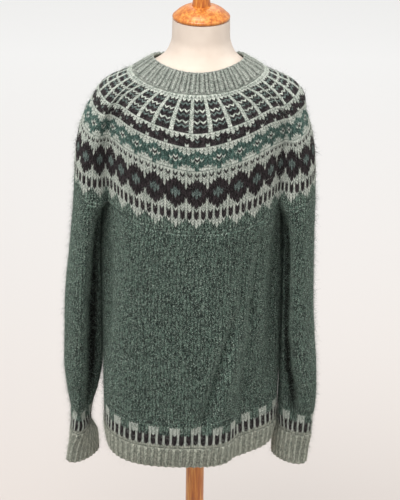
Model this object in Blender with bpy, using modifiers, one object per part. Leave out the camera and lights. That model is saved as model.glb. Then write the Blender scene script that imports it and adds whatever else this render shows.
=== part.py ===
"""A hand-knitted round-yoke pullover on a limbless dress form with a turned wooden stand.

Units are metres, +Z is up, the front faces -Y and +X is the wearer's left.
The origin is the centre of the stand base's underside. Every tube of cloth is a wall
between an outer and an inner surface, lofted through rings that come from short tables.
"""

import math
from collections import namedtuple

import bmesh
import bpy
import numpy as np

# Driving sizes of the knitting
WALL = 0.003  # thickness of the knitted cloth
SEAM = 0.0003  # gap between two pieces where they are joined
REST = 0.0027  # gap between the points of the cloth and the form that carries it
CHEST_CLEAR = 0.0008  # least gap between a sleeve and the body beside it

HEM_BOTTOM = 0.669
HEM_TOP = 0.7093
CUFF_BOTTOM = 0.622
CUFF_TOP = 0.684

HEM_RIBS = 75
CUFF_RIBS = 20
COLLAR_RIBS = 36
RIB_HEIGHT = 0.0016  # how far a rib stands out from the wall

# The round where body and sleeves are joined into the yoke: height JOIN, higher towards
# the back and out over the sleeves
JOIN = 1.1435
JOIN_RISE_BACK = 0.10
JOIN_RISE_SIDE = 0.60

# Number of points round each tube and of rings along it
BODY_AROUND, BODY_RINGS = 60, 11
YOKE_AROUND, YOKE_RINGS = 72, 12
SLEEVE_AROUND, SLEEVE_RINGS = 28, 11
FORM_AROUND, FORM_RINGS = 36, 21
OUTLINE_POINTS = 720  # fine outline from which the rings are read

Section = namedtuple("Section", "z x y half_width half_depth square turn")
Fold = namedtuple("Fold", "low_angle top_angle depth width low_z top_z")
Neck = namedtuple("Neck", "x y half_width half_depth z rise_back rise_side")

# Body and hem rib, measured on the outer face. square is the exponent of the outline:
# 2 is an ellipse, more is boxier. turn is in degrees.
BODY = [
    Section(0.6690, -0.0110, 0.003, 0.1525, 0.1375, 3.0, 0),
    Section(0.6820, -0.0105, 0.003, 0.1560, 0.1400, 2.9, 0),
    Section(0.7093, -0.0100, 0.004, 0.1600, 0.1420, 2.7, 0),
    Section(0.8000, -0.0095, 0.005, 0.1620, 0.1420, 2.5, 0),
    Section(0.9000, -0.0100, 0.005, 0.1625, 0.1405, 2.4, 0),
    Section(1.0000, -0.0110, 0.005, 0.1625, 0.1395, 2.3, 0),
    Section(1.0800, -0.0115, 0.004, 0.1610, 0.1380, 2.3, 0),
    Section(1.1435, -0.0095, 0.002, 0.1570, 0.1365, 2.3, 0),
]

# Sleeve on the wearer's left, +X, with its cuff
SLEEVE_LEFT = [
    Section(0.6220, 0.1765, -0.002, 0.0215, 0.0395, 2.0, 42),
    Section(0.6550, 0.1785, -0.001, 0.0235, 0.0405, 2.0, 42),
    Section(0.6840, 0.1830, 0.000, 0.0245, 0.0420, 2.0, 38),
    Section(0.7100, 0.1850, 0.002, 0.0270, 0.0460, 2.0, 32),
    Section(0.7600, 0.1880, 0.005, 0.0310, 0.0580, 1.9, 18),
    Section(0.8300, 0.1835, 0.008, 0.0355, 0.0680, 1.9, 6),
    Section(0.9200, 0.1790, 0.010, 0.0330, 0.0760, 1.9, 0),
    Section(1.0400, 0.1768, 0.008, 0.0316, 0.0790, 1.9, 0),
    Section(1.1000, 0.1742, 0.005, 0.0332, 0.0785, 2.0, 0),
    Section(1.1435, 0.1705, 0.003, 0.0365, 0.0770, 2.1, 0),
]

# Sleeve on the wearer's right, -X, which hangs further out
SLEEVE_RIGHT = [
    Section(0.6220, -0.2120, -0.004, 0.0200, 0.0420, 2.0, -32),
    Section(0.6550, -0.2105, -0.003, 0.0180, 0.0430, 2.0, -24),
    Section(0.6840, -0.2155, 0.000, 0.0175, 0.0450, 2.0, -4),
    Section(0.7220, -0.2130, 0.003, 0.0205, 0.0490, 1.9, 0),
    Section(0.7520, -0.2105, 0.006, 0.0280, 0.0550, 1.9, 0),
    Section(0.8100, -0.2080, 0.009, 0.0365, 0.0650, 1.9, 0),
    Section(0.9200, -0.2043, 0.010, 0.0373, 0.0760, 1.9, 0),
    Section(1.0400, -0.1967, 0.008, 0.0330, 0.0790, 1.9, 0),
    Section(1.1000, -0.1920, 0.005, 0.0320, 0.0785, 2.0, 0),
    Section(1.1435, -0.1870, 0.003, 0.0345, 0.0770, 2.1, 0),
]

# Hanging folds of the body. Angles are in degrees from +X, so -90 is the front; a fold
# may lean from low_angle at low_z to top_angle at top_z. depth is inwards.
BODY_FOLDS = [
    Fold(-46, -34, 0.0200, 20, 0.52, 1.12),
    Fold(-48, -40, 0.0170, 22, 0.40, 0.92),
    Fold(-58, -42, 0.0070, 7, 0.55, 1.02),
    Fold(-20, -24, 0.0050, 8, 0.70, 1.16),
    Fold(-150, -147, 0.0060, 7, 0.86, 1.22),
    Fold(38, 44, 0.0120, 11, 0.50, 1.12),
    Fold(66, 68, 0.0090, 9, 0.50, 1.05),
    Fold(97, 92, 0.0140, 11, 0.50, 1.10),
    Fold(128, 122, 0.0100, 10, 0.50, 1.06),
    Fold(152, 150, 0.0080, 9, 0.55, 1.16),
]

# The yoke's top ring, where the collar starts, and the collar's upper edge
COLLAR_SEAM = Neck(-0.0055, -0.0025, 0.1120, 0.0975, 1.3705, -0.03, 0.0140)
COLLAR_EDGE = Neck(-0.0040, -0.0035, 0.0780, 0.0715, 1.3935, -0.13, 0.0160)
SHOULDER_REACH = 0.086  # how far the yoke runs on in its first direction
YOKE_DROP = 0.105  # how far it hangs straight above the join
YOKE_DROP_SIDE = 0.018  # and how much further over the sleeves
FILL_START = 0.004  # depth from which a hollow is filled in full
HOLLOW_FILL = 0.030  # length of edge over which the yoke smooths out the armpit folds
SIDE_SLOPE, FRONT_SLOPE = 24, 52  # degrees below level, at the collar

# Dress form, from its underside to the top of its neck
FORM = [
    Section(0.7400, 0, 0.000, 0.1230, 0.0960, 2.2, 0),
    Section(0.8600, 0, 0.004, 0.1290, 0.1010, 2.2, 0),
    Section(0.9600, 0, 0.002, 0.1190, 0.0920, 2.1, 0),
    Section(1.0500, 0, 0.000, 0.1110, 0.0850, 2.1, 0),
    Section(1.1300, 0, -0.003, 0.1220, 0.0960, 2.1, 0),
    Section(1.2100, 0, -0.005, 0.1390, 0.1090, 2.2, 0),
    Section(1.2650, 0, -0.002, 0.1560, 0.1085, 2.2, 0),
    Section(1.3030, 0, 0.002, 0.1715, 0.1030, 2.2, 0),
    Section(1.3270, 0, 0.003, 0.1795, 0.0980, 2.2, 0),
    Section(1.3415, 0, 0.003, 0.1775, 0.0945, 2.15, 0),
    Section(1.3515, 0, 0.002, 0.1695, 0.0915, 2.1, 0),
    Section(1.3620, 0, -0.001, 0.1545, 0.0870, 2.05, 0),
    Section(1.3715, 0, -0.004, 0.1345, 0.0820, 2.0, 0),
    Section(1.3815, 0, -0.0065, 0.1135, 0.0770, 2.0, 0),
    Section(1.3965, 0, -0.0085, 0.0885, 0.0680, 2.0, 0),
    Section(1.4055, 0, -0.0075, 0.0735, 0.0630, 2.0, 0),
    Section(1.4110, 0, -0.0060, 0.0665, 0.0595, 2.0, 0),
    Section(1.4180, 0, -0.004, 0.0600, 0.0565, 2.0, 0),
    Section(1.4270, 0, -0.002, 0.0550, 0.0535, 2.0, 0),
    Section(1.4440, 0, 0.000, 0.0503, 0.0503, 2.0, 0),
    Section(1.4768, 0, 0.000, 0.0495, 0.0495, 2.0, 0),
]

# Turned wood: the neck cap with its knob, the pole and the round base
CAP_RADIUS = 0.0497
CAP_RIM = 0.0075
CAP_DOME = 0.0170
STEM_RADIUS = 0.0163
KNOB_RADIUS = 0.0195
KNOB_TOP = 1.5760
POLE_RADIUS = 0.0170
BASE_RADIUS = 0.1650
BASE_HEIGHT = 0.0280
BOSS_RADIUS = 0.0340
BOSS_HEIGHT = 0.0450
BOSS_ROUND = 0.006  # rounding of the boss's upper edge
BOSS_FOOT = 0.009  # width of the slope where it meets the disc
TURNED_STEPS = 24

WOOL_GREEN = (0.085, 0.125, 0.115, 1)
WOOL_LIGHT = (0.38, 0.44, 0.40, 1)
JERSEY = (0.80, 0.72, 0.63, 1)
BEECH = (0.48, 0.22, 0.07, 1)


def glide(at, knots, values):
    """Smooth curve through the points (knots, values) that never overshoots them."""
    knots, values = np.asarray(knots, float), np.asarray(values, float)
    step = np.diff(knots)
    rise = np.diff(values) / step
    pair = rise[:-1] * rise[1:]
    total = rise[:-1] + rise[1:]
    inner = np.where(pair > 0, 2 * pair / np.where(total == 0, 1, total), 0)
    slope = np.concatenate(([rise[0]], inner, [rise[-1]]))
    i = np.clip(np.searchsorted(knots, at, side="right") - 1, 0, len(step) - 1)
    t = np.clip((at - knots[i]) / step[i], 0, 1)
    start, end = values[i], values[i + 1]
    return (
        start * (1 + 2 * t) * (1 - t) ** 2
        + slope[i] * step[i] * t * (1 - t) ** 2
        + end * t * t * (3 - 2 * t)
        + slope[i + 1] * step[i] * t * t * (t - 1)
    )


def section_at(table, z):
    """The section of a table at height z, between its rows."""
    heights = [row.z for row in table]
    return Section(z, *(glide(z, heights, column) for column in list(zip(*table))[1:]))


def fold_depth(folds, angle, z):
    """How far the folds draw the cloth in, at outline angles in degrees and height z."""
    depth = np.zeros_like(angle)
    for fold in folds:
        along = (z - fold.low_z) / (fold.top_z - fold.low_z)
        if not 0 < along < 1:
            continue
        middle = fold.low_angle + along * (fold.top_angle - fold.low_angle)
        away = (angle - middle + 180) % 360 - 180
        strength = math.sin(math.pi * along) ** 0.8
        depth += fold.depth * strength * np.exp(-((away / fold.width) ** 2))
    return depth


def outline(table, z, folds=()):
    """A fine closed outline (x, y) at height z, from the back round by the wearer's right."""
    s = section_at(table, z)
    angle = 90 + 360 * np.arange(OUTLINE_POINTS) / OUTLINE_POINTS
    c, d = np.cos(np.radians(angle)), np.sin(np.radians(angle))
    radius = (np.abs(c) ** s.square + np.abs(d) ** s.square) ** (-1 / s.square)
    x, y = s.half_width * radius * c, s.half_depth * radius * d
    keep = 1 - fold_depth(folds, angle, z) / np.hypot(x, y)
    x, y = x * keep, y * keep
    turn = math.radians(s.turn)
    return np.stack(
        [
            s.x + x * math.cos(turn) - y * math.sin(turn),
            s.y + x * math.sin(turn) + y * math.cos(turn),
        ],
        axis=1,
    )


def along_outline(points, share, closed=True):
    """Points at the given shares of an outline's length."""
    if closed:
        points = np.vstack([points, points[:1]])
    length = np.concatenate(([0], np.cumsum(np.hypot(*np.diff(points, axis=0).T))))
    wanted = (share % 1 if closed else share) * length[-1]
    return np.stack([np.interp(wanted, length, points[:, k]) for k in (0, 1)], axis=-1)


def between_steps(points, share):
    """Points at the given shares of a closed ring whose points are even steps apart."""
    steps = np.arange(len(points) + 1) / len(points)
    points = np.vstack([points, points[:1]])
    return np.stack([np.interp(share % 1, steps, points[:, k]) for k in (0, 1)], axis=-1)


def body_side(y, z, side):
    """x of the body's plain outline at the depth y, on the side +1 or -1."""
    s = section_at(BODY, z)
    inside = np.clip(1 - np.abs((y - s.y) / s.half_depth) ** s.square, 0, 1)
    return s.x + side * s.half_width * inside ** (1 / s.square)


def sleeve_outline(side, z):
    """A sleeve's outline at height z. Its inner side lies against the body, just clear."""
    points = outline(SLEEVE_LEFT if side > 0 else SLEEVE_RIGHT, z)
    clear = CHEST_CLEAR + 0.0025 * np.clip((JOIN - z) / 0.1, 0, 1)
    limit = body_side(points[:, 1], min(z, JOIN), side) + side * clear
    beyond = side * (points[:, 0] - limit)
    near = np.abs(points[:, 1] - section_at(BODY, z).y) < section_at(BODY, z).half_depth
    points[:, 0] = np.where(near & (beyond < 0), limit, points[:, 0])
    return points


def join_height(x, y):
    """Height of the round where body, sleeves and yoke meet."""
    return JOIN + JOIN_RISE_BACK * y + JOIN_RISE_SIDE * x * x


def tube_point(ring_at, low, high, u, v):
    """Point of a tube whose rings run from the height low to the join, or to high."""
    place = np.empty(u.shape + (3,))
    for row in range(u.shape[0]):
        along = v[row, 0]
        nominal = low + along * ((JOIN if high is None else high) - low)
        flat = along_outline(ring_at(nominal), u[row])
        top = join_height(flat[:, 0], flat[:, 1]) - SEAM / 2 if high is None else high
        place[row, :, :2] = flat
        place[row, :, 2] = low + along * (top - low)
    return place


def body_point(u, v):
    """The body's outer face from the hem rib to the join."""
    return tube_point(
        lambda z: outline(BODY, z, BODY_FOLDS), HEM_TOP + SEAM / 2, None, u, v
    )


def hem_point(u, v):
    """The hem rib's outer face."""
    return tube_point(
        lambda z: outline(BODY, z, BODY_FOLDS),
        HEM_BOTTOM,
        HEM_TOP - SEAM / 2,
        u,
        v,
    )


def sleeve_point(side):
    """The outer face of the sleeve on one side, from the cuff to the join."""
    return lambda u, v: tube_point(
        lambda z: sleeve_outline(side, z), CUFF_TOP + SEAM / 2, None, u, v
    )


def cuff_point(side):
    """The outer face of the cuff on one side."""
    return lambda u, v: tube_point(
        lambda z: sleeve_outline(side, z), CUFF_BOTTOM, CUFF_TOP - SEAM / 2, u, v
    )


def join_loop():
    """The yoke's lower edge (x, y): back, right sleeve, front and left sleeve in turn.

    It takes each outline where that lies outside the others, and starts at the back.
    """
    body = outline(BODY, JOIN, BODY_FOLDS)
    arcs = []
    for side in (-1, 1):
        sleeve = sleeve_outline(side, JOIN)
        limit = body_side(sleeve[:, 1], JOIN, side) + side * CHEST_CLEAR
        free = side * (sleeve[:, 0] - limit) > 1e-6
        first = int(np.argmax(free & ~np.roll(free, 1)))
        arc = np.roll(sleeve, -first, axis=0)[: int(free.sum())]
        arcs.append(arc if arc[0, 1] * side < 0 else arc[::-1])
    right, left = arcs
    half = OUTLINE_POINTS // 2
    nearest = [
        int(np.argmin(np.hypot(*(body - end).T)))
        for end in (right[0], right[-1], left[0], left[-1])
    ]
    right_back, right_front, left_front, left_back = nearest
    assert right_back < right_front <= half <= left_front < left_back
    return np.vstack(
        [
            body[:right_back],
            right,
            body[right_front + 1 : left_front],
            left,
            body[left_back + 1 :],
        ]
    )


def neck_ring(neck, u):
    """Points of an elliptical ring at the neck, at shares of its length."""
    angle = np.radians(90 + 360 * np.arange(OUTLINE_POINTS) / OUTLINE_POINTS)
    ring = np.stack(
        [
            neck.x + neck.half_width * np.cos(angle),
            neck.y + neck.half_depth * np.sin(angle),
        ],
        axis=1,
    )
    flat = along_outline(ring, u)
    high = neck.rise_side * ((flat[..., :1] - neck.x) / neck.half_width) ** 2
    return np.concatenate(
        [flat, neck.z + neck.rise_back * flat[..., 1:] + high], axis=-1
    )


def form_reach(place):
    """0 on the form's surface, more outside it and less inside."""
    z = place[..., 2]
    heights = [row.z for row in FORM]
    read = {
        name: glide(z, heights, [getattr(row, name) for row in FORM])
        for name in ("y", "half_width", "half_depth", "square")
    }
    across = np.abs(place[..., 0] / read["half_width"]) ** read["square"]
    deep = np.abs((place[..., 1] - read["y"]) / read["half_depth"]) ** read["square"]
    return (across + deep) ** (1 / read["square"]) - 1


def clear_of_form(place, clearance, softness=0.002):
    """Moves points out until they are at least clearance from the form."""
    small = 0.0004
    for turn in range(5):
        reach = form_reach(place)
        slope = np.stack(
            [
                (form_reach(place + step) - form_reach(place - step)) / (2 * small)
                for step in np.eye(3) * small
            ],
            axis=-1,
        )
        steep = np.linalg.norm(slope, axis=-1)
        away = reach / steep
        soft = softness if turn == 0 else 0
        lift = (clearance - away + np.hypot(clearance - away, soft)) / 2
        place = place + slope / steep[..., None] * lift[..., None]
    return place


def filled_loop():
    """The yoke's lower edge with its hollows, as at the armpits, drawn out smooth."""
    share = np.arange(OUTLINE_POINTS) / OUTLINE_POINTS
    edge = along_outline(JOIN_LOOP, share)
    girth = np.hypot(*(edge - np.roll(edge, 1, axis=0)).T).sum()
    apart = girth * np.minimum(share, 1 - share)
    blur = np.exp(-((apart / HOLLOW_FILL) ** 2) / 2)
    mixed = np.fft.ifft(np.fft.fft(edge, axis=0) * np.fft.fft(blur)[:, None], axis=0)
    moved = mixed.real / blur.sum() - edge
    out = edge - edge.mean(axis=0)
    out /= np.linalg.norm(out, axis=1, keepdims=True)
    hollow = np.clip((moved * out).sum(axis=1, keepdims=True) / FILL_START, 0, 1)
    return edge + moved * hollow


def yoke_point(u, v):
    """The yoke's outer face, from the join at v = 0 to the collar at v = 1.

    Each column is a cubic curve: it hangs straight above the join, where the armpit folds
    fade out, and leaves the collar along the slope of the shoulder or the chest. Where it
    would enter the form, it rests on it.
    """
    flat = along_outline(JOIN_LOOP, u)
    low = np.concatenate(
        [flat, join_height(flat[..., 0], flat[..., 1])[..., None] + SEAM / 2], axis=-1
    )
    top = neck_ring(COLLAR_SEAM, u)
    out = flat - top[..., :2]
    out /= np.linalg.norm(out, axis=-1, keepdims=True)
    sideways = np.clip(np.abs(out[..., 0]), 0, 1) ** 1.5
    slope = np.radians(FRONT_SLOPE + (SIDE_SLOPE - FRONT_SLOPE) * sideways)[..., None]
    leave = np.concatenate([out * np.cos(slope), -np.sin(slope)], axis=-1)
    near_top = top + SHOULDER_REACH * leave
    near_low = low.copy()
    near_low[..., :2] = between_steps(FILLED_LOOP, u)
    near_low[..., 2] += YOKE_DROP + YOKE_DROP_SIDE * sideways
    t = v[..., None]
    place = (
        low * (1 - t) ** 3
        + 3 * near_low * t * (1 - t) ** 2
        + 3 * near_top * t * t * (1 - t)
        + top * t**3
    )
    return clear_of_form(place, WALL + REST)


def collar_point(u, v):
    """The collar's outer face, from the yoke at v = 0 to its edge at v = 1."""
    low, top = neck_ring(COLLAR_SEAM, u), neck_ring(COLLAR_EDGE, u)
    start = SEAM / np.linalg.norm(top - low, axis=-1, keepdims=True)
    t = start + (1 - start) * v[..., None]
    return clear_of_form(low + (top - low) * t, WALL + REST)


def normals(point, u, v):
    """Unit vectors out of a tube, from small steps round it and along it."""
    small = 1e-3
    round_it = point(u + small, v) - point(u - small, v)
    up, down = np.clip(v + small, 0, 1), np.clip(v - small, 0, 1)
    along = point(u, up) - point(u, down)
    out = np.cross(round_it, along)
    return out / np.linalg.norm(out, axis=-1, keepdims=True)


def seam_out(u):
    """Unit vectors out of the collar seam, halfway between the yoke's and the collar's."""
    end = np.ones_like(u)
    both = normals(yoke_point, u, end) + normals(collar_point, u, 0 * end)
    return both / np.linalg.norm(both, axis=-1, keepdims=True)


def level_rim(wall, height_at):
    """Sets the height of a ring of points, so that a seam stays even through the wall."""
    wall[:, 2] = height_at(wall[:, 0], wall[:, 1])


def make_object(name, vertices, faces, colour, roughness, smooth=True):
    """A mesh object with its faces pointing out and a material of its own."""
    mesh = bpy.data.meshes.new(name)
    mesh.from_pydata([tuple(point) for point in vertices], [], faces)
    work = bmesh.new()
    work.from_mesh(mesh)
    bmesh.ops.recalc_face_normals(work, faces=work.faces)
    work.to_mesh(mesh)
    work.free()
    return finish_object(bpy.data.objects.new(name, mesh), colour, roughness, smooth)


def finish_object(item, colour, roughness, smooth=True):
    """Puts an object in the pullover's collection and gives it its material."""
    material = bpy.data.materials.new(item.name)
    material.use_nodes = True
    shader = material.node_tree.nodes["Principled BSDF"]
    shader.inputs["Base Color"].default_value = colour
    shader.inputs["Roughness"].default_value = roughness
    shader.inputs["Metallic"].default_value = 0
    item.data.materials.clear()
    item.data.materials.append(material)
    if smooth:
        item.data.shade_smooth()
    COLLECTION.objects.link(item)
    return item


def grid_faces(around, rings, first=0):
    """Quads of a closed tube of points, ring after ring."""
    faces = []
    for j in range(rings - 1):
        for i in range(around):
            k = (i + 1) % around
            a, b = first + j * around, first + (j + 1) * around
            faces.append((a + i, a + k, b + k, b + i))
    return faces


def cloth_tube(
    name, point, around, rings, colour, ribs=0, low_rim=None, top_rim=None, seam_ring=None
):
    """A tube of cloth with a plain inner face, and ribs raised on its outer face.

    low_rim and top_rim give the height of an end's rim, and seam_ring is the ring, 0 or
    -1, that meets its neighbour along the collar seam.
    """
    u, v = np.meshgrid(np.arange(around) / around, np.linspace(0, 1, rings))
    outer = point(u, v)
    out = normals(point, u, v)
    if seam_ring is not None:
        out[seam_ring] = seam_out(u[:1])[0]
    inner = outer - WALL * out
    if ribs:
        rib = RIB_HEIGHT * (0.5 + 0.5 * np.cos(2 * np.pi * ribs * u))
        outer = outer + out * rib[..., None]
    for wall in (outer, inner):
        if low_rim:
            level_rim(wall[0], low_rim)
        if top_rim:
            level_rim(wall[-1], top_rim)
    total = around * rings
    faces = grid_faces(around, rings) + grid_faces(around, rings, total)
    for i in range(around):
        k = (i + 1) % around
        last = total - around
        faces.append((i, total + i, total + k, k))
        faces.append((last + i, last + k, total + last + k, total + last + i))
    vertices = np.vstack([outer.reshape(-1, 3), inner.reshape(-1, 3)])
    return make_object(name, vertices, faces, colour, 0.95)


def level(height):
    """A rim that lies flat at one height."""
    return lambda x, y: np.full_like(x, height)


def under_join(x, y):
    """The rim of the pieces that end below the join."""
    return join_height(x, y) - SEAM / 2


def over_join(x, y):
    """The rim of the yoke, above the join."""
    return join_height(x, y) + SEAM / 2


def make_pullover():
    """The knitted pieces: hem, body, two sleeves, two cuffs, yoke and collar."""
    cloth_tube(
        "hem_rib",
        hem_point,
        HEM_RIBS * 2,
        2,
        WOOL_LIGHT,
        ribs=HEM_RIBS,
        low_rim=level(HEM_BOTTOM),
        top_rim=level(HEM_TOP - SEAM / 2),
    )
    cloth_tube(
        "body",
        body_point,
        BODY_AROUND,
        BODY_RINGS,
        WOOL_GREEN,
        low_rim=level(HEM_TOP + SEAM / 2),
        top_rim=under_join,
    )
    for word, side in (("left", 1), ("right", -1)):
        cloth_tube(
            "cuff_" + word,
            cuff_point(side),
            CUFF_RIBS * 2,
            3,
            WOOL_LIGHT,
            ribs=CUFF_RIBS,
            low_rim=level(CUFF_BOTTOM),
            top_rim=level(CUFF_TOP - SEAM / 2),
        )
        cloth_tube(
            "sleeve_" + word,
            sleeve_point(side),
            SLEEVE_AROUND,
            SLEEVE_RINGS,
            WOOL_GREEN,
            low_rim=level(CUFF_TOP + SEAM / 2),
            top_rim=under_join,
        )
    cloth_tube(
        "yoke",
        yoke_point,
        YOKE_AROUND,
        YOKE_RINGS,
        WOOL_LIGHT,
        low_rim=over_join,
        seam_ring=-1,
    )
    cloth_tube(
        "collar",
        collar_point,
        COLLAR_RIBS * 2,
        3,
        WOOL_LIGHT,
        ribs=COLLAR_RIBS,
        seam_ring=0,
    )


def make_form():
    """The jersey-covered torso with its neck, closed at both ends."""
    heights = glide(
        np.linspace(0, 1, FORM_RINGS),
        np.linspace(0, 1, len(FORM)),
        [row.z for row in FORM],
    )
    share = np.arange(FORM_AROUND) / FORM_AROUND
    rings = [
        np.column_stack(
            [along_outline(outline(FORM, z), share), np.full(FORM_AROUND, z)]
        )
        for z in heights
    ]
    faces = grid_faces(FORM_AROUND, FORM_RINGS)
    last = FORM_AROUND * (FORM_RINGS - 1)
    faces.append(tuple(range(FORM_AROUND)))
    faces.append(tuple(range(last, last + FORM_AROUND)))
    form = make_object("dress_form", np.vstack(rings), faces, JERSEY, 0.8)
    form.data.set_sharp_from_angle(angle=math.radians(50))


def turned(name, profile, colour, roughness):
    """A piece turned on a lathe: its profile (radius, height) runs from top to bottom."""
    mesh = bpy.data.meshes.new(name)
    points = [(radius, 0, height) for radius, height in profile]
    mesh.from_pydata(points, [(i, i + 1) for i in range(len(points) - 1)], [])
    item = finish_object(bpy.data.objects.new(name, mesh), colour, roughness, False)
    screw = item.modifiers.new("Lathe", "SCREW")
    screw.angle = 2 * math.pi
    screw.steps = screw.render_steps = TURNED_STEPS
    screw.use_merge_vertices = True
    screw.merge_threshold = 0.00005
    screw.use_smooth_shade = True
    return item


def arc(centre, radius, start, end, count):
    """Points on an arc in the (radius, height) plane, angles in degrees from outwards."""
    turn = np.radians(np.linspace(start, end, count))
    return [
        (centre[0] + radius * math.cos(a), centre[1] + radius * math.sin(a)) for a in turn
    ]


def make_stand():
    """Neck cap with its knob, pole and round base, all turned from beech."""
    neck_top = FORM[-1].z
    rim_low = neck_top + SEAM
    rim_top = rim_low + CAP_RIM
    round_off = CAP_RIM / 2
    dome_run = CAP_RADIUS - round_off - STEM_RADIUS
    dome = [
        (
            STEM_RADIUS + dome_run * share,
            rim_top + (CAP_DOME - 0.001) * (1 - share**1.8) ** 0.8,
        )
        for share in (0, 0.25, 0.5, 0.75, 0.9)
    ]
    knob_centre = (0, KNOB_TOP - KNOB_RADIUS)
    knob_low = -math.degrees(math.acos(STEM_RADIUS * 0.72 / KNOB_RADIUS))
    cap = (
        arc(knob_centre, KNOB_RADIUS, 90, knob_low, 8)
        + [(STEM_RADIUS * 0.86, rim_top + CAP_DOME + 0.012), (STEM_RADIUS, rim_top + CAP_DOME)]
        + dome
        + arc((CAP_RADIUS - round_off, rim_low + round_off), round_off, 60, -70, 5)
        + [(CAP_RADIUS - round_off, rim_low), (0, rim_low)]
    )
    turned("neck_cap", cap, BEECH, 0.35)

    pole_low = BOSS_HEIGHT + SEAM
    pole_top = FORM[0].z - SEAM
    bpy.ops.mesh.primitive_cylinder_add(
        vertices=TURNED_STEPS,
        radius=POLE_RADIUS,
        depth=pole_top - pole_low,
        location=(0, 0, (pole_top + pole_low) / 2),
    )
    pole = bpy.context.object
    pole.name = pole.data.name = "pole"
    for holder in list(pole.users_collection):
        holder.objects.unlink(pole)
    finish_object(pole, BEECH, 0.35)
    pole.data.set_sharp_from_angle(angle=math.radians(50))

    edge = BASE_HEIGHT / 2
    base = (
        [(0, BOSS_HEIGHT), (BOSS_RADIUS - BOSS_ROUND, BOSS_HEIGHT)]
        + arc((BOSS_RADIUS - BOSS_ROUND, BOSS_HEIGHT - BOSS_ROUND), BOSS_ROUND, 60, 0, 3)
        + [(BOSS_RADIUS, BASE_HEIGHT + BOSS_FOOT / 3), (BOSS_RADIUS + BOSS_FOOT, BASE_HEIGHT)]
        + arc((BASE_RADIUS - edge, edge), edge, 90, -60, 7)
        + [(BASE_RADIUS - edge * 0.8, 0), (0, 0)]
    )
    turned("stand_base", base, BEECH, 0.35)


for leftover in list(bpy.data.objects):
    bpy.data.objects.remove(leftover)
COLLECTION = bpy.data.collections.new("pullover_on_dress_form")
bpy.context.scene.collection.children.link(COLLECTION)
JOIN_LOOP = join_loop()
FILLED_LOOP = filled_loop()

make_pullover()
make_form()
make_stand()
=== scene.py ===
"""A hand-knitted round-yoke pullover on a jersey-covered dress form, dressed for its picture.

Units are metres, +Z is up, the front faces -Y and +X is the wearer's left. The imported
model is the fixed frame. The knitting is laid stitch by stitch over the cloth's surface,
so its legs, ribs, colour changes and stray fibres are all mesh.
"""

from __future__ import annotations

import logging
import math
from collections.abc import Callable, Sequence
from dataclasses import dataclass, field
from enum import IntEnum
from typing import NamedTuple

import bpy
import numpy as np
from mathutils import Matrix


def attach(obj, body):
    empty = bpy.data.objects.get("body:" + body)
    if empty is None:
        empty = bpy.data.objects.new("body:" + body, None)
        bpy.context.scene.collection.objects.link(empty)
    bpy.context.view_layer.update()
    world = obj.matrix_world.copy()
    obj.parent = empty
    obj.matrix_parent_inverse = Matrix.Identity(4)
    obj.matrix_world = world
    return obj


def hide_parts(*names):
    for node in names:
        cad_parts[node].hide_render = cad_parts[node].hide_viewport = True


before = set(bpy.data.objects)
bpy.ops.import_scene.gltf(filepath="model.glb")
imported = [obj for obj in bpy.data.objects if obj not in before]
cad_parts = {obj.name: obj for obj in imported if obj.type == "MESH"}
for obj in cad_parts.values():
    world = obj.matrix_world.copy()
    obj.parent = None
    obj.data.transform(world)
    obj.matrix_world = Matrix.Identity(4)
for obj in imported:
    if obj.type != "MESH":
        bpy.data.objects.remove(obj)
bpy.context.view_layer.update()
LOG = logging.getLogger("pullover")

Array = np.ndarray
Surface = Callable[[Array, Array], Array]

# Cloth
WALL = 0.003  # thickness of the knitting
SEAM = 0.0003  # between two pieces
REST = 0.0027  # from the form to the inside of the cloth that rests on it
CHEST_CLEAR = 0.0008  # between a sleeve and the body at the join
HANG_CLEAR = 0.0025  # how much more there is once the sleeve hangs free
HANG_DROP = 0.1  # how far below the join it does
RIB_HEIGHT = 0.0024  # from the middle of a purl column to the top of a knit one
RIB_POWER = 1.4  # of its cosine wave, so that purl columns are the wider

HEM_BOTTOM = 0.669
HEM_TOP = 0.7093
CUFF_BOTTOM = 0.622
CUFF_TOP = 0.684

# The round where body and sleeves are joined into the yoke
JOIN = 1.1435
JOIN_RISE_BACK = 0.10
JOIN_RISE_SIDE = 0.60

OUTLINE_POINTS = 720
FOLD_FADE = 0.8  # power of the sine by which a fold fades to its ends
CREASE_START, CREASE_RUN, CREASE_FADE = 0.15, 0.9, 0.7  # the same for a crease, and its power


class Section(NamedTuple):
    """One level of a tube: its centre, half sizes, boxiness and turn in degrees."""

    z: float
    x: float
    y: float
    half_width: float
    half_depth: float
    square: float
    turn: float


class Fold(NamedTuple):
    """A hanging fold between two heights, from one angle to another."""

    low_angle: float
    top_angle: float
    depth: float
    width: float
    low_z: float
    top_z: float


class Neck(NamedTuple):
    """A saddle-shaped ring round the neck."""

    x: float
    y: float
    half_width: float
    half_depth: float
    z: float
    rise_back: float
    rise_side: float


class Crease(NamedTuple):
    """A soft crease from one place (turn, height) of a tube to another, in metres deep."""

    turn_a: float
    high_a: float
    turn_b: float
    high_b: float
    width: float
    depth: float


class Side(IntEnum):
    """A side of the garment, as the sign of its x."""

    LEFT = 1
    RIGHT = -1


BODY = [
    Section(0.6690, -0.0110, 0.003, 0.1525, 0.1375, 3.0, 0),
    Section(0.6820, -0.0105, 0.003, 0.1560, 0.1400, 2.9, 0),
    Section(0.7093, -0.0100, 0.004, 0.1600, 0.1420, 2.7, 0),
    Section(0.8000, -0.0095, 0.005, 0.1620, 0.1420, 2.5, 0),
    Section(0.9000, -0.0100, 0.005, 0.1625, 0.1405, 2.4, 0),
    Section(1.0000, -0.0110, 0.005, 0.1625, 0.1395, 2.3, 0),
    Section(1.0800, -0.0115, 0.004, 0.1610, 0.1380, 2.3, 0),
    Section(1.1435, -0.0095, 0.002, 0.1570, 0.1365, 2.3, 0),
]

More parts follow.
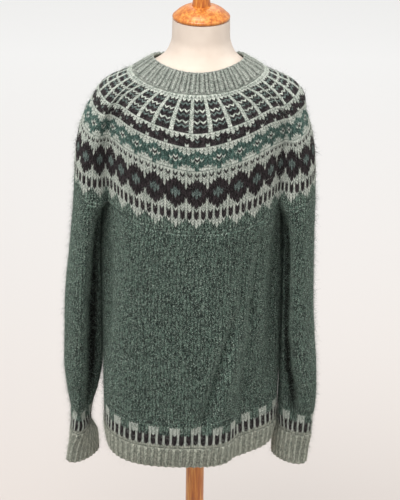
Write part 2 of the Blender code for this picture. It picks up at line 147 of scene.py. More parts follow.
SLEEVE_LEFT = [
    Section(0.6220, 0.1765, -0.002, 0.0215, 0.0395, 2.0, 42),
    Section(0.6550, 0.1785, -0.001, 0.0235, 0.0405, 2.0, 42),
    Section(0.6840, 0.1830, 0.000, 0.0245, 0.0420, 2.0, 38),
    Section(0.7100, 0.1850, 0.002, 0.0270, 0.0460, 2.0, 32),
    Section(0.7600, 0.1880, 0.005, 0.0310, 0.0580, 1.9, 18),
    Section(0.8300, 0.1835, 0.008, 0.0355, 0.0680, 1.9, 6),
    Section(0.9200, 0.1790, 0.010, 0.0330, 0.0760, 1.9, 0),
    Section(1.0400, 0.1768, 0.008, 0.0316, 0.0790, 1.9, 0),
    Section(1.1000, 0.1742, 0.005, 0.0332, 0.0785, 2.0, 0),
    Section(1.1435, 0.1705, 0.003, 0.0365, 0.0770, 2.1, 0),
]

SLEEVE_RIGHT = [
    Section(0.6220, -0.2120, -0.004, 0.0200, 0.0420, 2.0, -32),
    Section(0.6550, -0.2105, -0.003, 0.0180, 0.0430, 2.0, -24),
    Section(0.6840, -0.2155, 0.000, 0.0175, 0.0450, 2.0, -4),
    Section(0.7220, -0.2130, 0.003, 0.0205, 0.0490, 1.9, 0),
    Section(0.7520, -0.2105, 0.006, 0.0280, 0.0550, 1.9, 0),
    Section(0.8100, -0.2080, 0.009, 0.0365, 0.0650, 1.9, 0),
    Section(0.9200, -0.2043, 0.010, 0.0373, 0.0760, 1.9, 0),
    Section(1.0400, -0.1967, 0.008, 0.0330, 0.0790, 1.9, 0),
    Section(1.1000, -0.1920, 0.005, 0.0320, 0.0785, 2.0, 0),
    Section(1.1435, -0.1870, 0.003, 0.0345, 0.0770, 2.1, 0),
]

BODY_FOLDS = [
    Fold(-46, -34, 0.0200, 20, 0.52, 1.12), Fold(-48, -40, 0.0170, 22, 0.40, 0.92),
    Fold(-58, -42, 0.0070, 7, 0.55, 1.02), Fold(-20, -24, 0.0050, 8, 0.70, 1.16),
    Fold(-150, -147, 0.0060, 7, 0.86, 1.22), Fold(38, 44, 0.0120, 11, 0.50, 1.12),
    Fold(66, 68, 0.0090, 9, 0.50, 1.05), Fold(97, 92, 0.0140, 11, 0.50, 1.10),
    Fold(128, 122, 0.0100, 10, 0.50, 1.06), Fold(152, 150, 0.0080, 9, 0.55, 1.16)
]

# Long hollows where the front of each hanging sleeve turns in towards the body
SLEEVE_FOLDS = {
    Side.LEFT: [Fold(-142, -142, 0.0460, 22, 0.70, 1.142), Fold(-134, -136, 0.0120, 24, 0.98, 1.142)],
    Side.RIGHT: [Fold(-46, -44, 0.0540, 31, 0.70, 1.142), Fold(-48, -46, 0.0100, 26, 0.98, 1.142)],
}

# Turns from 0 to 1 from the back, by the wearer's right, and heights in metres
BODY_CREASES = [
    Crease(0.302, 1.145, 0.302, 0.840, 0.022, 0.0150),
    Crease(0.698, 1.130, 0.700, 0.760, 0.016, 0.0060),
    Crease(0.335, 1.130, 0.375, 1.020, 0.014, 0.0035),
    Crease(0.340, 1.080, 0.365, 0.960, 0.012, 0.0022),
    Crease(0.665, 1.130, 0.630, 1.030, 0.014, 0.0030),
    Crease(0.655, 1.070, 0.625, 0.930, 0.016, 0.0025),
    Crease(0.450, 0.800, 0.430, 0.740, 0.018, 0.0018),
    Crease(0.590, 0.960, 0.522, 0.718, 0.010, 0.0170),
    Crease(0.612, 0.960, 0.545, 0.718, 0.012, -0.0040),
    Crease(0.598, 1.130, 0.606, 0.880, 0.008, 0.0050),
    Crease(0.640, 1.120, 0.634, 0.860, 0.009, 0.0060),
]

SLEEVE_CREASES = {
    Side.LEFT: [
        Crease(0.42, 0.735, 0.62, 0.712, 0.010, 0.0030),
        Crease(0.40, 0.800, 0.58, 0.760, 0.014, 0.0028),
        Crease(0.55, 0.900, 0.72, 0.860, 0.016, 0.0026),
        Crease(0.40, 0.980, 0.52, 0.930, 0.014, 0.0020),
        Crease(0.50, 1.110, 0.62, 1.060, 0.014, 0.0024),
    ],
    Side.RIGHT: [
        Crease(0.36, 0.728, 0.60, 0.716, 0.009, 0.0034),
        Crease(0.38, 0.772, 0.60, 0.750, 0.012, 0.0030),
        Crease(0.30, 0.900, 0.48, 0.850, 0.016, 0.0028),
        Crease(0.46, 0.990, 0.60, 0.930, 0.014, 0.0022),
        Crease(0.38, 1.110, 0.52, 1.050, 0.014, 0.0026),
    ],
}

COLLAR_SEAM = Neck(-0.0055, -0.0025, 0.1120, 0.0975, 1.3705, -0.03, 0.0140)
COLLAR_EDGE = Neck(-0.0040, -0.0035, 0.0780, 0.0715, 1.3935, -0.13, 0.0160)
SHOULDER_REACH = 0.086  # from the collar to the upper handle of the yoke's curves
YOKE_DROP = 0.105  # from the join up to their lower handle
YOKE_DROP_SIDE = 0.018  # how much more that is over the sleeves
FILL_START = 0.004  # depth from which a hollow of the join is drawn out wholly
HOLLOW_FILL = 0.030  # width of the bell that draws it out
SIDE_SLOPE, FRONT_SLOPE = 24, 52  # degrees down at which the yoke leaves the collar
SIDE_BLEND = 1.5  # power by which one slope passes into the other

FORM = [
    Section(0.7400, 0, 0.000, 0.1230, 0.0960, 2.2, 0),
    Section(0.8600, 0, 0.004, 0.1290, 0.1010, 2.2, 0),
    Section(0.9600, 0, 0.002, 0.1190, 0.0920, 2.1, 0),
    Section(1.0500, 0, 0.000, 0.1110, 0.0850, 2.1, 0),
    Section(1.1300, 0, -0.003, 0.1220, 0.0960, 2.1, 0),
    Section(1.2100, 0, -0.005, 0.1390, 0.1090, 2.2, 0),
    Section(1.2650, 0, -0.002, 0.1560, 0.1085, 2.2, 0),
    Section(1.3030, 0, 0.002, 0.1715, 0.1030, 2.2, 0),
    Section(1.3270, 0, 0.003, 0.1795, 0.0980, 2.2, 0),
    Section(1.3415, 0, 0.003, 0.1775, 0.0945, 2.15, 0),
    Section(1.3515, 0, 0.002, 0.1695, 0.0915, 2.1, 0),
    Section(1.3620, 0, -0.001, 0.1545, 0.0870, 2.05, 0),
    Section(1.3715, 0, -0.004, 0.1345, 0.0820, 2.0, 0),
    Section(1.3815, 0, -0.0065, 0.1135, 0.0770, 2.0, 0),
    Section(1.3965, 0, -0.0085, 0.0885, 0.0680, 2.0, 0),
    Section(1.4055, 0, -0.0075, 0.0735, 0.0630, 2.0, 0),
    Section(1.4110, 0, -0.0060, 0.0665, 0.0595, 2.0, 0),
    Section(1.4180, 0, -0.004, 0.0600, 0.0565, 2.0, 0),
    Section(1.4270, 0, -0.002, 0.0550, 0.0535, 2.0, 0),
    Section(1.4440, 0, 0.000, 0.0503, 0.0503, 2.0, 0),
    Section(1.4768, 0, 0.000, 0.0495, 0.0495, 2.0, 0),
]


# The cloth's surface


def unit(ways: Array, least: float = 0.0) -> Array:
    """Ways of length one: each divided by its length, to which least is added."""
    return ways / (np.linalg.norm(ways, axis=-1, keepdims=True) + least)


def glide(at: Array | float, knots: Sequence[float], values: Sequence[float]) -> Array:
    """Smooth curve through points that never overshoots them.

    Each stretch is the cubic whose slopes at the knots are the harmonic means of the
    slopes on both sides.

    Args:
        at: Places where the curve is read.
        knots: Rising places of the points.
        values: Heights of the points.

    Returns:
        The curve's heights.
    """
    knots, values = np.asarray(knots, float), np.asarray(values, float)
    step = np.diff(knots)
    rise = np.diff(values) / step
    pair = rise[:-1] * rise[1:]
    total = rise[:-1] + rise[1:]
    inner = np.where(pair > 0, 2 * pair / np.where(total == 0, 1, total), 0)
    slope = np.concatenate(([rise[0]], inner, [rise[-1]]))
    i = np.clip(np.searchsorted(knots, at, side="right") - 1, 0, len(step) - 1)
    t = np.clip((at - knots[i]) / step[i], 0, 1)
    return (
        values[i] * (1 + 2 * t) * (1 - t) ** 2
        + slope[i] * step[i] * t * (1 - t) ** 2
        + values[i + 1] * t * t * (3 - 2 * t)
        + slope[i + 1] * step[i] * t * t * (t - 1)
    )


def section_at(table: Sequence[Section], z: float) -> Section:
    """The section of a table at height z, between its rows."""
    heights = [row.z for row in table]
    return Section(z, *(float(glide(z, heights, c)) for c in list(zip(*table))[1:]))


def fold_depth(folds: Sequence[Fold], angle: Array, z: float) -> Array:
    """How far folds draw the cloth in: bell curves round each fold's middle line.

    Args:
        folds: The folds of this tube.
        angle: Outline angles in degrees.
        z: Height.

    Returns:
        Depth at each angle, in metres.
    """
    depth = np.zeros_like(angle)
    for fold in folds:
        along = (z - fold.low_z) / (fold.top_z - fold.low_z)
        if not 0 < along < 1:
            continue
        middle = fold.low_angle + along * (fold.top_angle - fold.low_angle)
        away = (angle - middle + 180) % 360 - 180
        strength = math.sin(math.pi * along) ** FOLD_FADE
        depth += fold.depth * strength * np.exp(-((away / fold.width) ** 2))
    return depth


def outline(table: Sequence[Section], z: float, folds: Sequence[Fold] = ()) -> Array:
    """A closed superellipse with its folds, from the back round by the wearer's right.

    Args:
        table: The tube's sections.
        z: Height.
        folds: The folds pressed into it.

    Returns:
        Points (x, y).
    """
    s = section_at(table, z)
    angle = 90 + 360 * np.arange(OUTLINE_POINTS) / OUTLINE_POINTS
    c, d = np.cos(np.radians(angle)), np.sin(np.radians(angle))
    radius = (np.abs(c) ** s.square + np.abs(d) ** s.square) ** (-1 / s.square)
    x, y = s.half_width * radius * c, s.half_depth * radius * d
    keep = 1 - fold_depth(folds, angle, z) / np.hypot(x, y)
    x, y = x * keep, y * keep
    turn = math.radians(s.turn)
    return np.stack(
        [s.x + x * math.cos(turn) - y * math.sin(turn), s.y + x * math.sin(turn) + y * math.cos(turn)],
        axis=1,
    )


def along_outline(points: Array, share: Array) -> Array:
    """Points at the given shares of a closed outline's length.

    Args:
        points: The outline (x, y).
        share: Shares of its length.

    Returns:
        Points (x, y).
    """
    points = np.vstack([points, points[:1]])
    length = np.concatenate(([0], np.cumsum(np.hypot(*np.diff(points, axis=0).T))))
    wanted = (share % 1) * length[-1]
    return np.stack([np.interp(wanted, length, points[:, k]) for k in (0, 1)], axis=-1)


def between_steps(points: Array, share: Array) -> Array:
    """Points at the given shares of a closed ring whose points are even steps apart.

    Args:
        points: The ring (x, y).
        share: Shares of its length.

    Returns:
        Points (x, y).
    """
    steps = np.arange(len(points) + 1) / len(points)
    points = np.vstack([points, points[:1]])
    return np.stack([np.interp(share % 1, steps, points[:, k]) for k in (0, 1)], axis=-1)


def body_side(y: Array, z: float, side: Side) -> Array:
    """The body's plain outline, read from its superellipse.

    Args:
        y: Depths.
        z: Height.
        side: The side it lies on.

    Returns:
        x at each depth.
    """
    s = section_at(BODY, z)
    inside = np.clip(1 - np.abs((y - s.y) / s.half_depth) ** s.square, 0, 1)
    return s.x + side * s.half_width * inside ** (1 / s.square)


def sleeve_outline(side: Side, z: float, folds: Sequence[Fold] = ()) -> Array:
    """A sleeve's outline, pushed out to the body's side where it would run into it.

    Args:
        side: The side it lies on.
        z: Height.
        folds: The folds pressed into it.

    Returns:
        Points (x, y).
    """
    points = outline(SLEEVE_LEFT if side == Side.LEFT else SLEEVE_RIGHT, z, folds)
    clear = CHEST_CLEAR + HANG_CLEAR * np.clip((JOIN - z) / HANG_DROP, 0, 1)
    limit = body_side(points[:, 1], min(z, JOIN), side) + side * clear
    level = section_at(BODY, z)
    near = np.abs(points[:, 1] - level.y) < level.half_depth
    points[:, 0] = np.where(near & (side * (points[:, 0] - limit) < 0), limit, points[:, 0])
    return points


def join_height(x: Array, y: Array) -> Array:
    """Height of the round where body, sleeves and yoke meet."""
    return JOIN + JOIN_RISE_BACK * y + JOIN_RISE_SIDE * x * x


def join_loop() -> Array:
    """The yoke's lower edge: the body's outline, with the outer arc of each sleeve's.

    Returns:
        Points (x, y), from the back round by the wearer's right.
    """
    body = outline(BODY, JOIN, BODY_FOLDS)
    arcs = []
    for side in (Side.RIGHT, Side.LEFT):
        sleeve = sleeve_outline(side, JOIN)
        limit = body_side(sleeve[:, 1], JOIN, side) + side * CHEST_CLEAR
        free = side * (sleeve[:, 0] - limit) > 1e-6
        first = int(np.argmax(free & ~np.roll(free, 1)))
        arc = np.roll(sleeve, -first, axis=0)[: int(free.sum())]
        arcs.append(arc if arc[0, 1] * side < 0 else arc[::-1])
    right, left = arcs
    right_back, right_front, left_front, left_back = [
        int(np.argmin(np.hypot(*(body - end).T))) for end in (right[0], right[-1], left[0], left[-1])
    ]
    return np.vstack([
        body[:right_back], right, body[right_front + 1 : left_front], left, body[left_back + 1 :]
    ])


def neck_ring(neck: Neck, u: Array) -> Array:
    """An ellipse round the neck, higher towards the back and the sides.

    Args:
        neck: The ring.
        u: Shares of its length, from the back.

    Returns:
        Points of it.
    """
    angle = np.radians(90 + 360 * np.arange(OUTLINE_POINTS) / OUTLINE_POINTS)
    ring = np.stack(
        [neck.x + neck.half_width * np.cos(angle), neck.y + neck.half_depth * np.sin(angle)], axis=1
    )
    flat = along_outline(ring, u)
    high = neck.rise_side * ((flat[..., :1] - neck.x) / neck.half_width) ** 2
    return np.concatenate([flat, neck.z + neck.rise_back * flat[..., 1:] + high], axis=-1)


def form_reach(place: Array) -> Array:
    """The form's superellipses read as a field.

    Args:
        place: Points.

    Returns:
        0 on the form's surface, more outside it and less inside.
    """
    z = place[..., 2]
    heights = [row.z for row in FORM]
    read = {
        name: glide(z, heights, [getattr(row, name) for row in FORM])
        for name in ("y", "half_width", "half_depth", "square")
    }
    across = np.abs(place[..., 0] / read["half_width"]) ** read["square"]
    deep = np.abs((place[..., 1] - read["y"]) / read["half_depth"]) ** read["square"]
    return (across + deep) ** (1 / read["square"]) - 1


def clear_of_form(place: Array, clearance: float) -> Array:
    """Moves points out along the field's steepest way until they are clear of the form.

    Args:
        place: Points.
        clearance: The least distance from the form.

    Returns:
        The points in their new places. The first of five moves is softened, so that hanging
        cloth passes into resting cloth without an edge.
    """
    small = 0.0004
    for turn in range(5):
        reach = form_reach(place)
        slope = np.stack(
            [
                (form_reach(place + step) - form_reach(place - step)) / (2 * small)
                for step in np.eye(3) * small
            ],
            axis=-1,
        )
        steep = np.linalg.norm(slope, axis=-1)
        away = reach / steep
        soft = 0.002 if turn == 0 else 0
        lift = (clearance - away + np.hypot(clearance - away, soft)) / 2
        place = place + slope / steep[..., None] * lift[..., None]
    return place


def filled_loop(loop: Array) -> Array:
    """The yoke's lower edge with its hollows, as at the armpits, drawn out smooth.

    Each point moves to the bell-weighted mean of its neighbours, but only outwards.

    Args:
        loop: Points (x, y) of the edge.

    Returns:
        As many points as an outline has, even steps apart.
    """
    share = np.arange(OUTLINE_POINTS) / OUTLINE_POINTS
    edge = along_outline(loop, share)
    girth = np.hypot(*(edge - np.roll(edge, 1, axis=0)).T).sum()
    apart = girth * np.minimum(share, 1 - share)
    blur = np.exp(-((apart / HOLLOW_FILL) ** 2) / 2)
    mixed = np.fft.ifft(np.fft.fft(edge, axis=0) * np.fft.fft(blur)[:, None], axis=0)
    moved = mixed.real / blur.sum() - edge
    out = unit(edge - edge.mean(axis=0))
    hollow = np.clip((moved * out).sum(axis=1, keepdims=True) / FILL_START, 0, 1)
    return edge + moved * hollow


def yoke_surface(u: Array, v: Array) -> Array:
    """The yoke from the join to the collar: cubic curves that hang, then rest on the form.

    Args:
        u: Shares round, from the back.
        v: Shares up.

    Returns:
        Points.
    """
    loop = join_loop()
    flat = along_outline(loop, u)
    rise = join_height(flat[..., 0], flat[..., 1])[..., None]
    low = np.concatenate([flat, rise], axis=-1)
    top = neck_ring(COLLAR_SEAM, u)
    out = unit(flat - top[..., :2])
    sideways = np.clip(np.abs(out[..., 0]), 0, 1) ** SIDE_BLEND
    slope = np.radians(FRONT_SLOPE + (SIDE_SLOPE - FRONT_SLOPE) * sideways)[..., None]
    leave = np.concatenate([out * np.cos(slope), -np.sin(slope)], axis=-1)
    near_top = top + SHOULDER_REACH * leave
    near_low = low.copy()
    near_low[..., :2] = between_steps(filled_loop(loop), u)
    near_low[..., 2] += YOKE_DROP + YOKE_DROP_SIDE * sideways
    t = v[..., None]
    place = (
        low * (1 - t) ** 3 + 3 * near_low * t * (1 - t) ** 2 + 3 * near_top * t * t * (1 - t) + top * t**3
    )
    return clear_of_form(place, WALL + REST)


def collar_surface(u: Array, v: Array) -> Array:
    """The collar: straight lines from the yoke's ring to the collar's edge."""
    low, top = neck_ring(COLLAR_SEAM, u), neck_ring(COLLAR_EDGE, u)
    return clear_of_form(low + (top - low) * v[..., None], WALL + REST)


def tube_surface(ring_at: Callable[[float], Array], low: float, high: float | None) -> Surface:
    """A hanging tube from the height low to the join, or to high.

    Args:
        ring_at: Gives the outline at a height.
        low: Height of the lower end.
        high: Height of the upper end, or None for the join.

    Returns:
        The surface as a function of the shares round it and up it.
    """

    def surface(u: Array, v: Array) -> Array:
        """Rings at shares of the height, each read at its own shares round.

        Args:
            u: Shares round, a row for each ring.
            v: Shares up, the same all along a row.

        Returns:
            Points.
        """
        place = np.empty(u.shape + (3,))
        for row, along in enumerate(v[:, 0]):
            nominal = low + along * ((JOIN if high is None else high) - low)
            flat = along_outline(ring_at(nominal), u[row])
            top = join_height(flat[:, 0], flat[:, 1]) if high is None else high
            place[row, :, :2] = flat
            place[row, :, 2] = low + along * (top - low)
        return place

    return surface


# Shares of a point, of each neighbour beside it and of each over and under it
SOFT_OWN, SOFT_BESIDE, SOFT_OVER = 0.4, 0.22, 0.08
BAND_WAYS = 48


class Drape:
    """A tube of cloth as a fine grid of places, each with its way out."""

    def __init__(
        self, surface: Surface, around: int, along: int, creases: Sequence[Crease] = (), soften: int = 0
    ) -> None:
        """Reads the surface on a grid, evens it out and presses the creases into it.

        Args:
            surface: Function of the shares round the tube and up it.
            around: Points round.
            along: Points up.
            creases: The creases.
            soften: How often each point moves to the mean of itself and its neighbours.
        """
        u, v = np.meshgrid(np.arange(around) / around, np.linspace(0, 1, along))
        self.place = surface(u, v)
        for _ in range(soften):
            inner = self.place[1:-1]
            beside = np.roll(inner, 1, axis=1) + np.roll(inner, -1, axis=1)
            over = self.place[2:] + self.place[:-2]
            self.place[1:-1] = inner * SOFT_OWN + beside * SOFT_BESIDE + over * SOFT_OVER
        self.out = self._ways_out()
        if creases:
            self.place -= self.out * self._crease_depth(u, creases)[..., None]
            self.out = self._ways_out()

    def _ways_out(self) -> Array:
        """Unit normals: the cross product of the steps round and up."""
        round_it = np.roll(self.place, -1, axis=1) - np.roll(self.place, 1, axis=1)
        return unit(np.cross(round_it, np.gradient(self.place, axis=0)))

    def _crease_depth(self, u: Array, creases: Sequence[Crease]) -> Array:
        """Bell curves of the distance from each crease's line, fading to its ends by a sine.

        Args:
            u: Shares round the tube.
            creases: The creases.

        Returns:
            Depth at each point, in metres.
        """
        steps = np.roll(self.place, -1, axis=1) - self.place
        girth = np.linalg.norm(steps, axis=-1).sum(axis=1)[:, None]
        depth = np.zeros_like(u)
        for c in creases:
            right, rise = (c.turn_b - c.turn_a) * girth, c.high_b - c.high_a
            x = ((u - c.turn_a + 0.5) % 1 - 0.5) * girth
            z = self.place[..., 2] - c.high_a
            along = np.clip((x * right + z * rise) / (right**2 + rise**2), 0, 1)
            away = np.hypot(x - along * right, z - along * rise)
            fade = np.sin(np.pi * along * CREASE_RUN + CREASE_START) ** CREASE_FADE
            depth += c.depth * fade * np.exp(-((away / c.width) ** 2))
        return depth

    def _mixed(self, grid: Array, u: Array, v: Array) -> Array:
        """A grid's values between its points, mixed from the nearest four.

        Args:
            grid: Values, rows up by points round.
            u: Shares round the tube.
            v: Shares up the tube.

        Returns:
            The values there.
        """
        rows, columns = grid.shape[:2]
        across = (u % 1) * columns
        up = np.clip(v, 0, 1) * (rows - 1)
        i = np.minimum(across.astype(int), columns - 1)
        j = np.minimum(up.astype(int), rows - 2)
        s, t = (across - i)[..., None], (up - j)[..., None]
        k = (i + 1) % columns
        low = grid[j, i] * (1 - s) + grid[j, k] * s
        high = grid[j + 1, i] * (1 - s) + grid[j + 1, k] * s
        return low * (1 - t) + high * t

    def at(self, u: Array, v: Array) -> tuple[Array, Array]:
        """Places, and unit ways out, at shares round the tube from the back and up it."""
        return self._mixed(self.place, u, v), unit(self._mixed(self.out, u, v))

    def sunk_at(self, u: Array, v: Array) -> Array:
        """How deep the cloth lies inside a band pulled tight round its tube.

        At each height the band reaches as far as the ring's furthest point in each of
        many ways, and the depth is the least distance to it.

        Args:
            u: Shares round the tube, from the back.
            v: Shares up the tube.

        Returns:
            Depths in metres.
        """
        ways = 2 * np.pi * np.arange(BAND_WAYS) / BAND_WAYS
        reach = self.place[..., :2] @ np.stack([np.cos(ways), np.sin(ways)])
        depth = (reach.max(axis=1, keepdims=True) - reach).min(axis=-1, keepdims=True)
        return self._mixed(depth, u, v)[..., 0]


# Yarns and charts


class Yarn(IntEnum):
    """The yarns, in the order of a knitted piece's material slots."""

    GREEN = 0
    ASH = 1
    DARK = 2
    SLATE = 3
    RIB = 4
    TEAL = 5


LETTERS = dict(zip("GLDSRT", Yarn))

# Charts read from the lowest row up. A row is one repeat seen from outside, and its
# middle stitch lands on the middle of the back.
BAR_ROWS = ["R"] + ["LD"] * 5 + ["GGLLLG"] * 4
YOKE_SIX = (
    "G G GGGLGG GGLLLG GLLLLL LD LD LD L LLLDLL LLDDDL LDDDDD LDDDDD DDDSDD DDSSSD "
    "DDSSSD DDDSDD LDDDDD LDDDDD LLDDDL LLLDLL L LD L"
).split()
YOKE_FIVE = "LLTLL LTTTL TTTTT TTLTT TLDLT TTLTT TTTTT LTTTL LLTLL L".split()
YOKE_FOUR = ["LDDD", "DDDD", "DDSD", "DLDD", "LLLD", "L"]
YOKE_THREE = ["LDD", "LDD", "LSS", "LDD", "L"] * 3 + ["L"]


def chart(rows: Sequence[str], stitches: int) -> Array:
    """Yarns of a band, each row's repeat laid round it from its middle stitch.

    Args:
        rows: Repeats in letters, from the lowest row up.
        stitches: Stitches round.

    Returns:
        Whole numbers, rows by stitches.
    """
    laid = []
    for row in rows:
        codes = np.array([LETTERS[letter] for letter in row])
        laid.append(codes[(np.arange(stitches) + len(row) // 2) % len(row)])
    return np.array(laid)


# Meshes


class Faces(NamedTuple):
    """Faces of one kind: point numbers and map places of their corners, yarns and tones."""

    corners: Array
    uv: Array
    yarn: Array
    tone: Array


NO_QUADS = Faces(np.empty((0, 4), int), np.empty((0, 4, 2)), np.empty(0, int), np.empty(0))
PLAIN_TONE = 0.25
PLAIN_TURN, PLAIN_METRE = 100, 200  # units of a plain map in a turn and in a metre


def merged(parts: Sequence[Faces]) -> Faces:
    """Several sets of faces of one kind as one."""
    return Faces(*(np.concatenate(values) for values in zip(*parts)))


def plain_faces(points: Array, triangles: Array, yarn: Array) -> Faces:
    """Bare triangles, their map from the turn round the axis and the height.

    Args:
        points: The points that they join.
        triangles: Three point numbers each.
        yarn: The yarn of each.

    Returns:
        The faces, all of one tone.
    """
    places = points[triangles]
    turn = np.arctan2(places[..., 1], places[..., 0]) / (2 * np.pi) * PLAIN_TURN
    flat = np.stack([turn, places[..., 2] * PLAIN_METRE], axis=-1)
    return Faces(triangles, flat, yarn, np.full(len(triangles), PLAIN_TONE))


@dataclass
class Patch:
    """Points, how bright each lies by painted shade, and the faces between them."""

    points: Array
    crown: Array
    quads: Faces
    triangles: Faces

    @staticmethod
    def joined(parts: Sequence["Patch"]) -> "Patch":
        """One patch from several, their point numbers moved on.

        Args:
            parts: The patches.

        Returns:
            The whole.
        """
        starts = np.cumsum([0] + [len(part.points) for part in parts[:-1]])
        kinds = []
        for name in ("quads", "triangles"):
            faces = [getattr(part, name) for part in parts]
            kinds.append(merged([f._replace(corners=f.corners + s) for f, s in zip(faces, starts)]))
        points = np.concatenate([part.points for part in parts])
        return Patch(points, np.concatenate([part.crown for part in parts]), *kinds)


def walls(number: Array, inwards: bool = False) -> Array:
    """Two triangles in each field between rings of points.

    Args:
        number: Point numbers, rings by points round, from the lowest ring up.
        inwards: Whether they face in.

    Returns:
        The triangles.
    """
    beside = np.roll(number, -1, axis=1)
    a, b, c, d = number[:-1], beside[:-1], beside[1:], number[1:]
    order = ((a, c, b), (a, d, c)) if inwards else ((a, b, c), (a, c, d))
    return np.concatenate([np.stack(three, axis=-1).reshape(-1, 3) for three in order])


def placed(name: str, data: bpy.types.ID) -> bpy.types.Object:
    """A new object that holds the data, in the scene.

    Args:
        name: Its name.
        data: A mesh, camera or light.

    Returns:
        The object, at the origin.
    """
    item = bpy.data.objects.new(name, data)
    bpy.context.scene.collection.objects.link(item)
    return item


def zipped(low: Array, low_at: Array, high: Array, high_at: Array) -> Array:
    """Triangles between two rings of points, each edge joined to the nearest passed point.

    Args:
        low: Point numbers of the lower ring.
        low_at: Their shares round it, rising.
        high: Point numbers of the upper ring.
        high_at: Their shares round it, rising.

    Returns:
        Triangles that face out when the upper ring lies above the lower.
    """
    low_on = np.append(low_at, low_at[0] + 1)
    high_on = np.append(high_at, high_at[0] + 1)
    low_next, high_next = np.roll(low, -1), np.roll(high, -1)
    above = np.clip(np.searchsorted(high_on, low_on[1:], side="right") - 1, 0, None)
    below = np.clip(np.searchsorted(low_on, high_on[1:], side="left") - 1, 0, None)
    return np.vstack([
        np.stack([low, low_next, high[above % len(high)]], axis=1),
        np.stack([high_next, high, low[below % len(low)]], axis=1),
    ])


def make_piece(name: str, patch: Patch, finishes: Sequence[bpy.types.Material]) -> bpy.types.Object:
    """A mesh object from a patch, with its map, tones and crowns.

    Args:
        name: Name of the piece.
        patch: Its points and faces.
        finishes: Its materials, in the order of the yarns.

    Returns:
        The object, standing at the origin.
    """
    mesh = bpy.data.meshes.new(name)
    kinds = patch.quads, patch.triangles
    quads, triangles = (kind.corners for kind in kinds)
    corners = np.concatenate([quads.ravel(), triangles.ravel()]).astype(np.int32)
    starts = np.concatenate(
        [4 * np.arange(len(quads)), quads.size + 3 * np.arange(len(triangles))]
    ).astype(np.int32)
    mesh.vertices.add(len(patch.points))
    mesh.vertices.foreach_set("co", patch.points.astype(np.float32).ravel())
    mesh.loops.add(len(corners))
    mesh.loops.foreach_set("vertex_index", corners)
    mesh.polygons.add(len(starts))
    mesh.polygons.foreach_set("loop_start", starts)
    yarns = np.concatenate([kind.yarn for kind in kinds]).astype(np.int32)
    used = sorted(set(yarns.tolist()))
    for yarn in used:
        mesh.materials.append(finishes[yarn])
    mesh.polygons.foreach_set("material_index", np.searchsorted(used, yarns).astype(np.int32))
    mesh.update(calc_edges=True)
    mesh.shade_smooth()
    layer = mesh.uv_layers.new(name="stitches")
    flat = np.concatenate([kind.uv.reshape(-1, 2) for kind in kinds])
    layer.data.foreach_set("uv", flat.astype(np.float32).ravel())
    tone = mesh.attributes.new("tone", "FLOAT", "FACE")
    tones = np.concatenate([kind.tone for kind in kinds])
    tone.data.foreach_set("value", tones.astype(np.float32))
    # The crown number is painted shade: furrows, deep folds and the inside lie darker
    crown = mesh.attributes.new("crown", "FLOAT", "POINT")
    crown.data.foreach_set("value", patch.crown.astype(np.float32))
    return placed(name, mesh)


@dataclass
class Band:
    """Rows of stitches with the same count, between two shares of a tube's length."""

    yarns: Array
    low: float
    high: float
    purl: Array | None = None

    @property
    def rows(self) -> int:
        """Rows of the band."""
        return self.yarns.shape[0]

    @property
    def stitches(self) -> int:
        """Stitches round it."""
        return self.yarns.shape[1]


# A leg's quads and triangles, by the numbers of its four corners and its two ridge points
LEG_FACES = (((0, 1, 5, 4), (4, 5, 2, 3)), ((0, 4, 3), (1, 2, 5)))
# Tones: the least, and what a stitch and a leg add. Half a stitch of a light or dark tone
# shows as a speck, so tones stay near the middle
TONE_LEAST, TONE_STITCH, TONE_LEG = 0.16, 0.10, 0.58
# Painted shade: how bright points lie, from 0 in a furrow to 1 on a leg
CLEFT_CROWN, END_CROWN, PURL_CROWN = 0.45, 0.8, 0.8
# Painted shade on the plain inside of a piece
INNER_CROWN = 0.4
FOLD_SHADE_DEPTH, FOLD_SHADE_FROM = 0.009, 0.15  # depth of a hollow, and the share where painted shade begins to darken it
FOLD_SHADE_CROWN = -0.28  # the painted shade that a wholly dark point comes to
